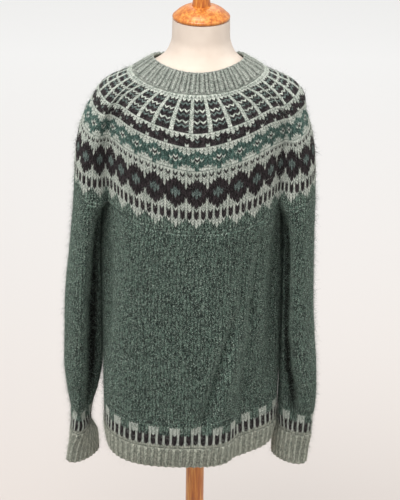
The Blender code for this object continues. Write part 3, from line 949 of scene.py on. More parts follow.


@dataclass
class Knit:
    """Knitting laid over a draped tube, leg by leg, with a plain inside."""

    name: str
    drape: Drape
    bands: list[Band]
    ribs: int = 0
    lean: float = 1.15  # rows that a leg rises across its half of a stitch
    purl_lean: float = 0.55  # rows that a purl's leg rises more
    crest: float = 0.0004  # how far a leg stands out of the cloth's face
    valley: float = -0.0012  # where neighbouring stitches meet
    cleft: float = -0.0005  # where a stitch's two legs meet
    edge: float = -0.0002  # the same at the end of a band, which is no furrow
    rib_painted_shading: tuple[float, float] = (1.25, 0.55)  # painted highlight and shade: how bright a rib's knit and purl legs are
    hollow: float = 0.0  # how far painted shade darkens the cloth in a deep fold
    crowd: float = 0.30  # halves of a stitch by which a dark one crowds its neighbour
    spread: tuple[float, float] = (0.28, 0.72)  # where a leg's ridge starts and ends
    inner_rows: int = 12  # rings of points inside
    fibres: int = 0
    fibre_length: tuple[float, float] = (0.0045, 0.0200)  # the shortest and the longest
    fibre_thick: tuple[float, float] = (0.00009, 0.00007)  # the least, and what chance adds
    fibre_slant: tuple[float, float] = (8, 56)  # the same, in degrees off the cloth
    fibre_sag: float = 0.12  # share of its length by which a fibre's tip hangs
    fibre_root: float = 0.0003  # how deep it starts in the leg
    # Places, ways out and yarns of the ridges, from which the fibres leave
    roots: list[tuple[Array, Array, Array]] = field(default_factory=list)

    def _rib(self, u: Array) -> Array:
        """A cosine wave round the tube, highest on each rib, or 0 where there are none.

        Args:
            u: Shares round the tube.

        Returns:
            How far the rib stands out, in metres.
        """
        if not self.ribs:
            return np.zeros_like(u)
        return RIB_HEIGHT * (0.5 + 0.5 * np.cos(2 * np.pi * self.ribs * u)) ** RIB_POWER

    def _lay(self, u: Array, v: Array, off: Array | float) -> tuple[Array, Array]:
        """Places off the cloth's face, ribs included, and the ways out there."""
        place, out = self.drape.at(u, v)
        return place + out * (off + self._rib(u))[..., None], out

    def _band(self, band: Band, chance: np.random.Generator) -> Patch:
        """One band. A knit stitch is two legs that lean towards its foot.

        Each leg is a slanted strip with a ridge along it, so its corners lie in the
        valleys and its two middle points on the crown.

        Args:
            band: Its rows of stitches.
            chance: Gives the tones.

        Returns:
            The band's points and faces.
        """
        rows, halves = band.rows, 2 * band.stitches
        edge = np.arange(halves)
        lift = np.where(edge % 2 == 0, self.lean, 0.0)
        if band.purl is not None:
            purl = (edge % 2 == 1) & band.purl[edge // 2]
            lift = np.where(purl, self.lean + self.purl_lean, lift)
        height = np.arange(rows + 1)[:, None] + lift[None]
        height = height / (rows + lift.max())
        height[0], height[-1] = 0, 1
        dark = np.repeat(band.yarns == Yarn.DARK, 2, axis=1).astype(float)
        push = self.crowd * (np.roll(dark, 1, axis=1) - dark)
        pushed = (np.vstack([push[:1], push]) + np.vstack([push, push[-1:]])) / 2
        span = band.high - band.low
        spots = [((edge - 1 + pushed) / halves, band.low + height * span)]
        # The furrow between two stitches is deeper than the one between a stitch's legs
        sunk = np.full(height.shape, self.valley)
        sunk[:, 1::2] = self.cleft
        sunk[[0, -1]] = self.edge
        points = [self._lay(*spots[0], sunk)[0]]
        sides = height, np.roll(height, -1, axis=1)
        left, right = ((side[1:] + side[:-1]) / 2 for side in sides)
        yarn = np.repeat(band.yarns, 2, axis=1)
        for share in self.spread:
            moved = push * (1 - share) + np.roll(push, -1, axis=1) * share
            up = left + share * (right - left)
            spots.append(((edge - 1 + share + moved) / halves, band.low + up * span))
            ridge, out = self._lay(*spots[-1], self.crest)
            points.append(ridge)
            self.roots.append((ridge.reshape(-1, 3), out.reshape(-1, 3), yarn.ravel()))

        number = np.arange(height.size).reshape(height.shape)
        beside = np.roll(number, -1, axis=1)
        ridge = number.size + np.arange(rows * halves).reshape(rows, halves)
        marks = [number[:-1], beside[:-1], beside[1:], number[1:], ridge, ridge + ridge.size]
        column, row = np.meshgrid(edge / 2, np.arange(rows, dtype=float))
        a, b = self.spread
        shifts = ((0, 0), (0.5, 0), (0.5, 1), (0, 1), (a / 2, 0.5), (b / 2, 0.5))
        flat = [np.stack((column + across, row + up), axis=-1) for across, up in shifts]
        tone = TONE_LEAST + TONE_STITCH * np.repeat(chance.random(band.yarns.shape), 2, axis=1)
        tone += TONE_LEG * chance.random((rows, halves))
        kinds = []
        for faces in LEG_FACES:
            size = len(faces[0])
            corners = [np.stack([marks[k] for k in face], axis=2) for face in faces]
            places = [np.stack([flat[k] for k in face], axis=2) for face in faces]
            kinds.append(Faces(
                np.concatenate(corners).reshape(-1, size),
                np.concatenate(places).reshape(-1, size, 2),
                np.tile(yarn.ravel(), 2),
                np.tile(tone.ravel(), 2),
            ))
        laid = np.vstack([grid.reshape(-1, 3) for grid in points])
        return Patch(laid, self._crowns(band, spots), *kinds)

    def _crowns(self, band: Band, spots: Sequence[tuple[Array, Array]]) -> Array:
        """Painted shade at each point: 0 in a furrow, 1 on a leg, less on a sunk purl and in a deep fold.

        Args:
            band: The band whose points are asked for.
            spots: Shares round and up of the corners and of both ridge points.

        Returns:
            One number for each corner, then for each ridge point.
        """
        rows, halves = band.rows, 2 * band.stitches
        corners = np.zeros((rows + 1, halves))
        corners[:, 1::2] = CLEFT_CROWN
        ridge = np.ones((rows, halves))
        ridge[[0, -1]] = END_CROWN
        if band.purl is not None:
            # Where two purls meet, their bumps make a fainter line of their own, so less shade is painted
            # there
            corners[:, ::2] = np.where(band.purl & np.roll(band.purl, 1), PURL_CROWN, 0.0)
            # Painted shade on the sunk purls, painted highlight on the standing knits
            ridge *= np.where(np.repeat(band.purl, 2), self.rib_painted_shading[1], self.rib_painted_shading[0])
        corners[[0, -1]] = CLEFT_CROWN
        crowns = np.concatenate([corners.ravel(), np.tile(ridge.ravel(), 2)])
        if not self.hollow:
            return crowns
        # Painted shade in deep folds, by how far the cloth lies inside a band pulled tight round it
        sunk = np.concatenate([self.drape.sunk_at(*spot).ravel() for spot in spots])
        dark = self.hollow * np.clip(sunk / FOLD_SHADE_DEPTH - FOLD_SHADE_FROM, 0, 1)
        return crowns * (1 - dark) + FOLD_SHADE_CROWN * dark

    def build(self, finishes: Sequence[bpy.types.Material], seed: int) -> bpy.types.Object:
        """Bands, joins between them, the inside and both rims, as one closed mesh.

        Args:
            finishes: Materials in the order of the yarns.
            seed: Start of this piece's random tones.

        Returns:
            The piece.
        """
        chance = np.random.default_rng(seed)
        patches, rings, start = [], [], 0
        for band in self.bands:
            patches.append(self._band(band, chance))
            halves = 2 * band.stitches
            ring, shares = start + np.arange(halves), (np.arange(halves) - 1) / halves
            rings += [(ring, shares), (ring + band.rows * halves, shares)]
            start += len(patches[-1].points)

        first, last = self.bands[0], self.bands[-1]
        around = np.arange(first.stitches) / first.stitches
        up = np.linspace(first.low, last.high, self.inner_rows)
        place, out = self.drape.at(*np.meshgrid(around, up))
        inner = (place - WALL * out).reshape(-1, 3)
        number = start + np.arange(len(inner)).reshape(self.inner_rows, -1)
        whole = Patch.joined(patches)
        points = np.vstack([whole.points, inner])
        usual = np.bincount(np.concatenate([band.yarns.ravel() for band in self.bands])).argmax()
        yarns = [usual, first.yarns[0, 0], last.yarns[-1, 0]]
        yarns += [band.yarns[0, 0] for band in self.bands[1:]]
        strips = [
            walls(number, inwards=True),
            zipped(number[0], around, *rings[0]),
            zipped(*rings[-1], number[-1], around),
            *(zipped(*low, *high) for low, high in zip(rings[1:-1:2], rings[2::2])),
        ]
        yarn = np.repeat(yarns, [len(strip) for strip in strips])
        lining = plain_faces(points, np.vstack(strips), yarn)
        crown = np.concatenate([whole.crown, np.full(len(inner), INNER_CROWN)])
        triangles = merged([whole.triangles, lining])
        patch = Patch(points, crown, whole.quads, triangles)
        return make_piece("knit_" + self.name, patch, finishes)

    def fuzz(self, finishes: Sequence[bpy.types.Material], seed: int) -> bpy.types.Object:
        """Stray fibres: thin closed spikes that leave the legs' crowns at a slant.

        Powers of the random numbers make most of them short and low.

        Args:
            finishes: Materials in the order of the yarns.
            seed: Start of the random places and ways.

        Returns:
            The fibres as one piece.
        """
        chance = np.random.default_rng(seed)
        places, outs, yarns = (np.concatenate(part) for part in zip(*self.roots))
        pick = chance.integers(0, len(places), self.fibres)
        root, out, yarn = places[pick], outs[pick], yarns[pick]
        aside = unit(np.cross(out, [0.0, 0.0, 1.0]), least=1e-9)
        turn = chance.random(self.fibres)[:, None] * 2 * np.pi
        least, more = self.fibre_slant
        raised = np.radians(least + more * chance.random(self.fibres) ** 1.4)[:, None]
        flat = aside * np.cos(turn) + np.cross(aside, out) * np.sin(turn)
        way = flat * np.cos(raised) + out * np.sin(raised)
        short, long = self.fibre_length
        reach = short + (long - short) * chance.random(self.fibres)[:, None] ** 3
        tip = root + way * reach - [0.0, 0.0, self.fibre_sag] * reach
        one = unit(np.cross(way, out + 0.01))
        two = np.cross(way, one)
        least, more = self.fibre_thick
        thick = least + more * chance.random(self.fibres)[:, None]
        base = root - out * self.fibre_root
        ring = [
            base + thick * (one * math.cos(a) + two * math.sin(a))
            for a in (0, 2 * math.pi / 3, 4 * math.pi / 3)
        ]
        points = np.stack(ring + [tip], axis=1).reshape(-1, 3)
        first = 4 * np.arange(self.fibres)[:, None]
        sides = np.array([[0, 1, 3], [1, 2, 3], [2, 0, 3], [2, 1, 0]])
        triangles = (first[..., None] + sides[None]).reshape(-1, 3)
        spikes = plain_faces(points, triangles, np.repeat(yarn, 4))
        spikes = spikes._replace(tone=np.repeat(chance.random(self.fibres), 4))
        patch = Patch(points, np.ones(len(points)), NO_QUADS, spikes)
        return make_piece("fuzz_" + self.name, patch, finishes)


# Finishes


def linear(code: str) -> tuple[float, float, float, float]:
    """A linear colour from an sRGB hex value, by the sRGB curve.

    Args:
        code: The value, such as "#d0b090".

    Returns:
        Red, green, blue and an alpha of 1.
    """
    parts = [int(code[k : k + 2], 16) / 255 for k in (1, 3, 5)]
    red, green, blue = (p / 12.92 if p <= 0.04045 else ((p + 0.055) / 1.055) ** 2.4 for p in parts)
    return red, green, blue, 1.0


def add(
    tree: bpy.types.NodeTree, kind: str, inputs: dict[str | int, object] | None = None,
    stops: Sequence[tuple[float, str]] = (), **settings: object
) -> bpy.types.Node:
    """Adds a node with its settings and links.

    Args:
        tree: The material's nodes.
        kind: Type of the node, without the word ShaderNode before it.
        inputs: Value of each input, or a (node, output) pair that is linked to it.
        stops: Places and hex colours of a colour ramp.
        settings: Attributes of the node.

    Returns:
        The node.
    """
    made = tree.nodes.new("ShaderNode" + kind)
    for name, value in settings.items():
        setattr(made, name, value)
    for name, value in (inputs or {}).items():
        if isinstance(value, tuple) and isinstance(value[0], bpy.types.Node):
            tree.links.new(value[0].outputs[value[1]], made.inputs[name])
        else:
            made.inputs[name].default_value = value
    if stops:
        ramp = made.color_ramp
        while len(ramp.elements) < len(stops):
            ramp.elements.new(0.5)
        for element, (place, code) in zip(ramp.elements, stops):
            element.position = place
            element.color = linear(code)
    return made


def fresh(name: str) -> tuple[bpy.types.Material, bpy.types.NodeTree]:
    """A new material with empty nodes.

    Args:
        name: Its name.

    Returns:
        The material and its nodes.
    """
    made = bpy.data.materials.new(name)
    made.use_nodes = True
    made.node_tree.nodes.clear()
    return made, made.node_tree


@dataclass(frozen=True)
class Wool:
    """Loosely spun wool with a little mohair, hand-knitted and worn soft."""

    name: str
    deep: str
    middle: str
    light: str
    fleck: str
    fleck_share: float = 0.60  # noise above which a pale tuft shows
    shade: tuple[float, float] = (0.30, 1.14)  # painted shade: brightness in a furrow and on a leg

    def material(self) -> bpy.types.Material:
        """Heathered yarn: matt and soft-edged, with pale hairs over a darker core, and painted shade in
        its furrows.

        Returns:
            The material.
        """
        made, tree = fresh(self.name)
        where = add(tree, "TexCoord")
        # Dyed fibres are mixed in the yarn, so its tone drifts every 2 mm or so
        drift = add(tree, "TexNoise", {
            "Vector": (where, "Object"), "Scale": 480.0, "Detail": 2.0, "Roughness": 0.6
        })
        tone = add(tree, "Attribute", attribute_name="tone")
        shifted = add(
            tree, "Math", {0: (tone, "Fac"), 1: 0.62, 2: (drift, "Fac")}, operation="MULTIPLY_ADD"
        )
        heather = add(tree, "ValToRGB", {"Fac": (shifted, 0)}, stops=[
            (0.48, self.deep), (0.78, self.middle), (0.98, self.light)
        ])
        # Tufts of pale hairs 2 mm across, drawn coarser than real ones so that they show
        hairs = add(tree, "TexNoise", {"Vector": (where, "Object"), "Scale": 520.0, "Detail": 2.0})
        picked = add(tree, "MapRange", {
            "Value": (hairs, "Fac"), "From Min": self.fleck_share - 0.07,
            "From Max": self.fleck_share + 0.06, "To Max": 0.85
        })
        flecked = add(
            tree, "Mix", {0: (picked, 0), 6: (heather, "Color"), 7: linear(self.fleck)}, data_type="RGBA"
        )
        # Painted shade: the crown number darkens the yarn where legs meet
        crown = add(tree, "Attribute", attribute_name="crown")
        depth = add(
            tree,
            "MapRange",
            {"Value": (crown, "Fac"), "To Min": self.shade[0], "To Max": self.shade[1]},
            clamp=False,
        )
        shaded = add(
            tree, "Mix", {0: 1.0, 6: (flecked, 2), 7: (depth, 0)}, data_type="RGBA", blend_type="MULTIPLY"
        )
        # Twist of the plies: a slant line every quarter of a leg
        spun = add(
            tree,
            "TexWave",
            {"Vector": (where, "UV"), "Scale": 2.2, "Distortion": 2.5, "Detail": 2.0},
            bands_direction="DIAGONAL",
        )
        surface = add(
            tree, "Math", {0: (spun, "Fac"), 1: 0.35, 2: (hairs, "Fac")}, operation="MULTIPLY_ADD"
        )
        bump = add(tree, "Bump", {"Height": (surface, 0), "Strength": 0.55, "Distance": 0.0008})
        shader = add(tree, "BsdfPrincipled", {
            "Base Color": (shaded, 2), "Roughness": 0.92, "IOR": 1.54, "Specular IOR Level": 0.2,
            "Sheen Weight": 0.22, "Sheen Roughness": 0.55, "Sheen Tint": linear(self.fleck),
            "Normal": (bump, "Normal")
        })
        add(tree, "OutputMaterial", {"Surface": (shader, "BSDF")})
        return made


WOOLS = [
    Wool("wool heathered bottle green", "#0a1110", "#22302d", "#5f756a", "#adbeb2", 0.61, (0.08, 1.35)),
    Wool("wool pale ash", "#727e76", "#a0aaa1", "#c6ccc4", "#e4e8df", 0.60, (0.06, 1.26)),
    Wool("wool brown black", "#0e0c0e", "#211d1f", "#393335", "#5b5456", 0.66),
    Wool("wool slate", "#27302f", "#465452", "#6c7b77", "#93a29d"),
    # The pale ash yarn made darker, as painted shade for the ribs of hem and cuffs
    Wool("wool pale ash painted darker for ribs", "#59645c", "#82897e", "#a9ada0", "#d2d2c5", 0.59),
    Wool("wool teal green", "#162925", "#2c4540", "#506d66", "#8ba39b", 0.62),
]


@dataclass(frozen=True)
class Jersey:
    """Fine cotton jersey stretched over a padded torso."""

    name: str = "cotton jersey ecru"
    shade: str = "#cbbcaf"
    light: str = "#d8cbbf"
    wale: float = 0.0014  # metres between two columns of its stitches

    def material(self) -> bpy.types.Material:
        """Soft matt cream, its stitches just seen, slightly uneven where it was handled.

        Returns:
            The material.
        """
        made, tree = fresh(self.name)
        where = add(tree, "TexCoord")
        cloud = add(tree, "TexNoise", {"Vector": (where, "Object"), "Scale": 14.0, "Detail": 4.0})
        colour = add(tree, "ValToRGB", {"Fac": (cloud, "Fac")}, stops=[
            (0.3, self.shade), (0.62, self.light)
        ])
        # A wave's period is 2 pi / 20 of its scaled coordinate
        scale = 2 * math.pi / 20 / self.wale
        wales = add(
            tree,
            "TexWave",
            {"Vector": (where, "UV"), "Scale": scale, "Distortion": 1.0},
            bands_direction="X",
        )
        courses = add(
            tree,
            "TexWave",
            {"Vector": (where, "UV"), "Scale": scale * 1.3, "Distortion": 1.0},
            bands_direction="Y",
        )
        weave = add(tree, "Math", {0: (wales, "Fac"), 1: (courses, "Fac")}, operation="MULTIPLY")
        bump = add(tree, "Bump", {"Height": (weave, 0), "Strength": 0.5, "Distance": 0.0003})
        shader = add(tree, "BsdfPrincipled", {
            "Base Color": (colour, "Color"), "Roughness": 0.82, "Specular IOR Level": 0.25,
            "Sheen Weight": 0.12, "Sheen Roughness": 0.5, "Normal": (bump, "Normal")
        })
        add(tree, "OutputMaterial", {"Surface": (shader, "BSDF")})
        return made


@dataclass(frozen=True)
class Beech:
    """Beech turned on a lathe, stained honey and lacquered."""

    name: str = "beech lacquered honey"
    dark: str = "#a3551c"
    middle: str = "#bd6e22"
    light: str = "#d59344"
    along: tuple[float, float, float] = (1.0, 1.0, 0.06)  # how the grain is drawn out

    def material(self) -> bpy.types.Material:
        """Warm wood with fine upright grain and short dark rays under a soft gloss.

        Returns:
            The material.
        """
        made, tree = fresh(self.name)
        where = add(tree, "TexCoord")
        # Growth lines 4 mm apart run along the wood, so the pattern is drawn out that way
        drawn = add(tree, "Mapping", {"Vector": (where, "Object"), "Scale": self.along})
        grain = add(tree, "TexNoise", {
            "Vector": (drawn, 0), "Scale": 240.0, "Detail": 5.0, "Distortion": 0.4
        })
        colour = add(tree, "ValToRGB", {"Fac": (grain, "Fac")}, stops=[
            (0.32, self.dark), (0.5, self.middle), (0.68, self.light)
        ])
        # Beech's rays are dark dashes about 2 mm long
        short = add(
            tree, "Mapping", {"Vector": (where, "Object"), "Scale": tuple(k**0.5 for k in self.along)}
        )
        rays = add(tree, "TexVoronoi", {"Vector": (short, 0), "Scale": 420.0})
        marked = add(tree, "MapRange", {
            "Value": (rays, "Distance"), "From Max": 0.32, "To Min": 0.78, "To Max": 1.0
        })
        wood = add(
            tree, "Mix", {0: 1.0, 6: (colour, "Color"), 7: (marked, 0)}, data_type="RGBA",
            blend_type="MULTIPLY"
        )
        bump = add(tree, "Bump", {"Height": (grain, "Fac"), "Strength": 0.12, "Distance": 0.0004})
        shader = add(tree, "BsdfPrincipled", {
            "Base Color": (wood, 2), "Roughness": 0.42, "IOR": 1.5, "Coat Weight": 0.35,
            "Coat Roughness": 0.22, "Normal": (bump, "Normal")
        })
        add(tree, "OutputMaterial", {"Surface": (shader, "BSDF")})
        return made


@dataclass(frozen=True)
class Paper:
    """Pale seamless floor for the picture."""

    name: str = "paper floor pale"
    # The near colour is painted shade, darker than the far white
    near: str = "#d1cac6"
    far: str = "#ffffff"

    def material(self) -> bpy.types.Material:
        """Matt, darker and warmer near the stand as painted shade, and whiter further back.

        Returns:
            The material.
        """
        made, tree = fresh(self.name)
        where = add(tree, "TexCoord")
        split = add(tree, "SeparateXYZ", {0: (where, "Object")})
        share = add(tree, "MapRange", {"Value": (split, "Y"), "From Min": 0.8, "From Max": 4.2})
        colour = add(tree, "ValToRGB", {"Fac": (share, 0)}, stops=[(0.0, self.near), (1.0, self.far)])
        shader = add(tree, "BsdfPrincipled", {
            "Base Color": (colour, "Color"), "Roughness": 0.95, "Specular IOR Level": 0.1
        })
        add(tree, "OutputMaterial", {"Surface": (shader, "BSDF")})
        return made


# The object


@dataclass
class Pullover:
    """The knitted garment: eight CAD pieces, laid stitch by stitch."""

    body_stitches: int = 150
    body_rows: int = 88
    hem_rows: int = 10
    cuff_stitches: int = 40
    cuff_rows: int = 14
    collar_stitches: int = 108
    collar_rows: int = 11
    sleeve_counts: tuple[int, int, int] = (42, 48, 56)  # stitches, more after each increase
    sleeve_rows: tuple[int, int] = (30, 67)  # plain rows after the first increase and the second
    repeats: int = 36  # of the yoke's design
    tone_seed: int = 100
    fibre_seed: int = 200

    def finishes(self) -> list[bpy.types.Material]:
        """The wool materials in the order of the yarns."""
        return [wool.material() for wool in WOOLS]

    def hem(self) -> Knit:
        """The rib at the hem: one knit, one purl.

        Returns:
            The knit.
        """
        drape = Drape(
            tube_surface(lambda z: outline(BODY, z, BODY_FOLDS), HEM_BOTTOM, HEM_TOP - SEAM / 2),
            around=720,
            along=16,
        )
        purl = np.arange(self.body_stitches) % 2 == 1
        yarns = chart(["R"] * self.hem_rows, self.body_stitches)
        return Knit(
            "hem_rib", drape, [Band(yarns, 0, 1, purl)], ribs=self.body_stitches // 2, inner_rows=4,
            fibres=4200
        )

    def body_parts(self) -> list[Knit]:
        """The patterned band above the hem and the plain body, over one surface.

        Returns:
            Both knits.
        """
        drape = Drape(
            tube_surface(lambda z: outline(BODY, z, BODY_FOLDS), HEM_TOP + SEAM / 2, None),
            around=720,
            along=120,
            creases=BODY_CREASES,
        )
        # Two plain rows end the patterned piece, so its squares keep their stitches' tips
        pattern = BAR_ROWS + ["G"] * 2
        split = len(pattern) / (len(pattern) + self.body_rows)
        gap = 0.0002
        bars = Band(chart(pattern, self.body_stitches), 0, split - gap)
        plain = Band(chart(["G"] * self.body_rows, self.body_stitches), split + gap, 1)
        return [
            Knit("hem_band", drape, [bars], inner_rows=4, fibres=3000),
            Knit("body", drape, [plain], inner_rows=16, fibres=34000),
        ]

    def cuff(self, side: Side) -> Knit:
        """A cuff's rib: one knit, one purl.

        Args:
            side: The arm's side.

        Returns:
            The knit.
        """
        drape = Drape(
            tube_surface(lambda z: sleeve_outline(side, z), CUFF_BOTTOM, CUFF_TOP - SEAM / 2),
            around=360,
            along=24,
        )
        purl = np.arange(self.cuff_stitches) % 2 == 1
        yarns = chart(["R"] * self.cuff_rows, self.cuff_stitches)
        return Knit(
            "cuff_" + side.name.lower(), drape, [Band(yarns, 0, 1, purl)],
            ribs=self.cuff_stitches // 2, inner_rows=5, fibres=1500
        )

    def sleeve(self, side: Side) -> Knit:
        """A sleeve with the hem's pattern above its cuff and two rounds of increases.

        Args:
            side: The arm's side.

        Returns:
            The knit.
        """
        drape = Drape(
            tube_surface(
                lambda z: sleeve_outline(side, z, SLEEVE_FOLDS[side]), CUFF_TOP + SEAM / 2, None
            ),
            around=420,
            along=130,
            creases=SLEEVE_CREASES[side],
        )
        low, middle, high = self.sleeve_counts
        pattern = BAR_ROWS + ["G"] * 3
        rows = (len(pattern), *self.sleeve_rows)
        ends = np.cumsum((0, *rows)) / sum(rows)
        gap = 0.0004
        return Knit(
            "sleeve_" + side.name.lower(),
            drape,
            [
                Band(chart(pattern, low), 0, ends[1] - gap),
                Band(chart(["G"] * rows[1], middle), ends[1] + gap, ends[2] - gap),
                Band(chart(["G"] * rows[2], high), ends[2] + gap, 1),
            ],
            # Painted shade in the sleeves' deep folds
            hollow=0.95,
            inner_rows=18,
            fibres=15000,
        )

    def yoke(self) -> Knit:
        """The round yoke: four bands with fewer stitches in each, in a plain design.

        Returns:
            The knit.
        """
        drape = Drape(yoke_surface, around=720, along=70, soften=45)
        parts = (YOKE_SIX, YOKE_FIVE, YOKE_FOUR, YOKE_THREE)
        rows = [len(part) for part in parts]
        ends = np.cumsum([0] + rows) / sum(rows)
        gap = 0.001
        bands = []
        for k, part in enumerate(parts):
            yarns = chart(part, self.repeats * (6 - k))
            low = ends[k] + (gap if k else 0)
            high = ends[k + 1] - (gap if k < 3 else 0)
            bands.append(Band(yarns, low, high))
        return Knit("yoke", drape, bands, inner_rows=14, fibres=14000)

    def collar(self) -> Knit:
        """The collar's rib: one knit, two purl.

        Returns:
            The knit.
        """
        drape = Drape(collar_surface, around=720, along=16)
        purl = np.arange(self.collar_stitches) % 3 != 0
        yarns = chart(["L"] * self.collar_rows, self.collar_stitches)
        return Knit(
            "collar", drape, [Band(yarns, 0.004, 1, purl)], ribs=self.collar_stitches // 3,
            # The collar's whole rib is painted darker, as shade against the light from above
            rib_painted_shading=(0.54, 0.12), inner_rows=4, fibres=2600
        )

    def build(self) -> None:
        finishes = self.finishes()
        knits = [self.hem(), *self.body_parts()]
        knits += [make(side) for make in (self.cuff, self.sleeve) for side in Side]
        knits += [self.yoke(), self.collar()]
        slots = {"hem_rib": "knit_rib", "collar": "knit_rib", "yoke": "knit_pattern"}
        slots |= {"cuff_left": "knit_rib", "cuff_right": "knit_rib", "hem_band": "knit_pattern"}
        for number, knit in enumerate(knits):
            piece = knit.build(finishes, self.tone_seed + number)
            fuzz = knit.fuzz(finishes, self.fibre_seed + number)
            node = "body" if knit.name == "hem_band" else knit.name
            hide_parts(node)
            for item in (piece, fuzz):
                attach(item, "root")
            self.declare(knit.name)
            LOG.info("%s: %d faces", knit.name, len(piece.data.polygons))

    def declare(self, name: str) -> None:
        """Matches a knitted piece by its name, and does nothing for any of them.

        Args:
            name: The knit's name.
        """
        match name:
            case "hem_rib":
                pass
            case "hem_band":
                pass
            case "body":
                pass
            case "cuff_left" | "cuff_right":
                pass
            case "sleeve_left" | "sleeve_right":
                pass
            case "yoke":
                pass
            case _:
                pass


def capped(rings: Array, low: Sequence[float], top: Sequence[float]) -> tuple[Array, Array]:
    """Rings joined into a wall, with a fan to one point at each end.

    Args:
        rings: Points of each ring, from the lowest up.
        low: The point that closes the lowest ring.
        top: The point that closes the highest.

    Returns:
        Points, and triangles that face out.
    """
    number = np.arange(rings[..., 0].size).reshape(rings.shape[:2])
    beside = np.roll(number, -1, axis=1)
    tip = np.full(rings.shape[1], number.size)
    fans = [
        np.stack([beside[0], number[0], tip], axis=1),
        np.stack([number[-1], beside[-1], tip + 1], axis=1),
    ]
    return np.vstack([rings.reshape(-1, 3), [low, top]]), np.vstack([walls(number), *fans])


def turned(profile: Array, around: int) -> tuple[Array, Array]:
    """A profile carried round the axis, closed by a point on it at both ends.

    Args:
        profile: Rows (radius, height) from top to bottom, both ends on the axis.
        around: Points round.

    Returns:
        Points, and triangles that face out.
    """
    angle = np.pi / 2 + 2 * np.pi * np.arange(around) / around
    radius, high = profile[-2:0:-1, :1], profile[-2:0:-1, 1:]
    rings = np.stack(
        [radius * np.cos(angle), radius * np.sin(angle), np.repeat(high, around, axis=1)], axis=-1
    )
    return capped(rings, [0, 0, profile[-1, 1]], [0, 0, profile[0, 1]])


def hard_piece(
    name: str, points: Array, triangles: Array, material: bpy.types.Material, sharp: float
) -> bpy.types.Object:
    """A smooth-shaded mesh object with sharp edges above an angle in degrees.

    Its map is metres round the axis and metres of height.

    Args:
        name: Name of the piece.
        points: Its points.
        triangles: Its faces.
        material: Its finish.
        sharp: Angle between faces from which an edge stays sharp.

    Returns:
        The object.
    """
    mesh = bpy.data.meshes.new(name)
    mesh.from_pydata(points, [], triangles)
    mesh.shade_smooth()
    mesh.set_sharp_from_angle(angle=math.radians(sharp))
    corners = points[triangles]
    turn = np.arctan2(corners[..., 1], corners[..., 0])
    turn[:, 1:] = turn[:, :1] + (turn[:, 1:] - turn[:, :1] + np.pi) % (2 * np.pi) - np.pi
    reach = np.hypot(corners[..., 0], corners[..., 1]).max()
    layer = mesh.uv_layers.new(name="metres")
    flat = np.stack([turn * reach, corners[..., 2]], axis=-1)
    layer.data.foreach_set("uv", flat.astype(np.float32).ravel())
    mesh.materials.append(material)
    return placed(name, mesh)


def arc(centre: tuple[float, float], radius: float, start: float, end: float, count: int) -> Array:
    """Points on an arc in the (radius, height) plane, angles in degrees from outwards."""
    turn = np.radians(np.linspace(start, end, count))
    return np.stack([centre[0] + radius * np.cos(turn), centre[1] + radius * np.sin(turn)], 1)


@dataclass
class DressForm:
    """The limbless torso under its jersey cover."""

    around: int = 180
    rings: int = 90

    def build(self) -> None:
        """Lofts the torso through its sections and closes both ends."""
        heights = glide(
            np.linspace(0, 1, self.rings), np.linspace(0, 1, len(FORM)), [row.z for row in FORM]
        )
        share = np.arange(self.around) / self.around
        rings = np.array([
            np.column_stack([along_outline(outline(FORM, z), share), np.full(self.around, z)])
            for z in heights
        ])
        points, triangles = capped(rings, rings[0].mean(axis=0), rings[-1].mean(axis=0))
        form = hard_piece("form_cover", points, triangles, Jersey().material(), 50)
        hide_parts("dress_form")
        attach(form, "root")
        LOG.info("form_cover: %d faces", len(form.data.polygons))


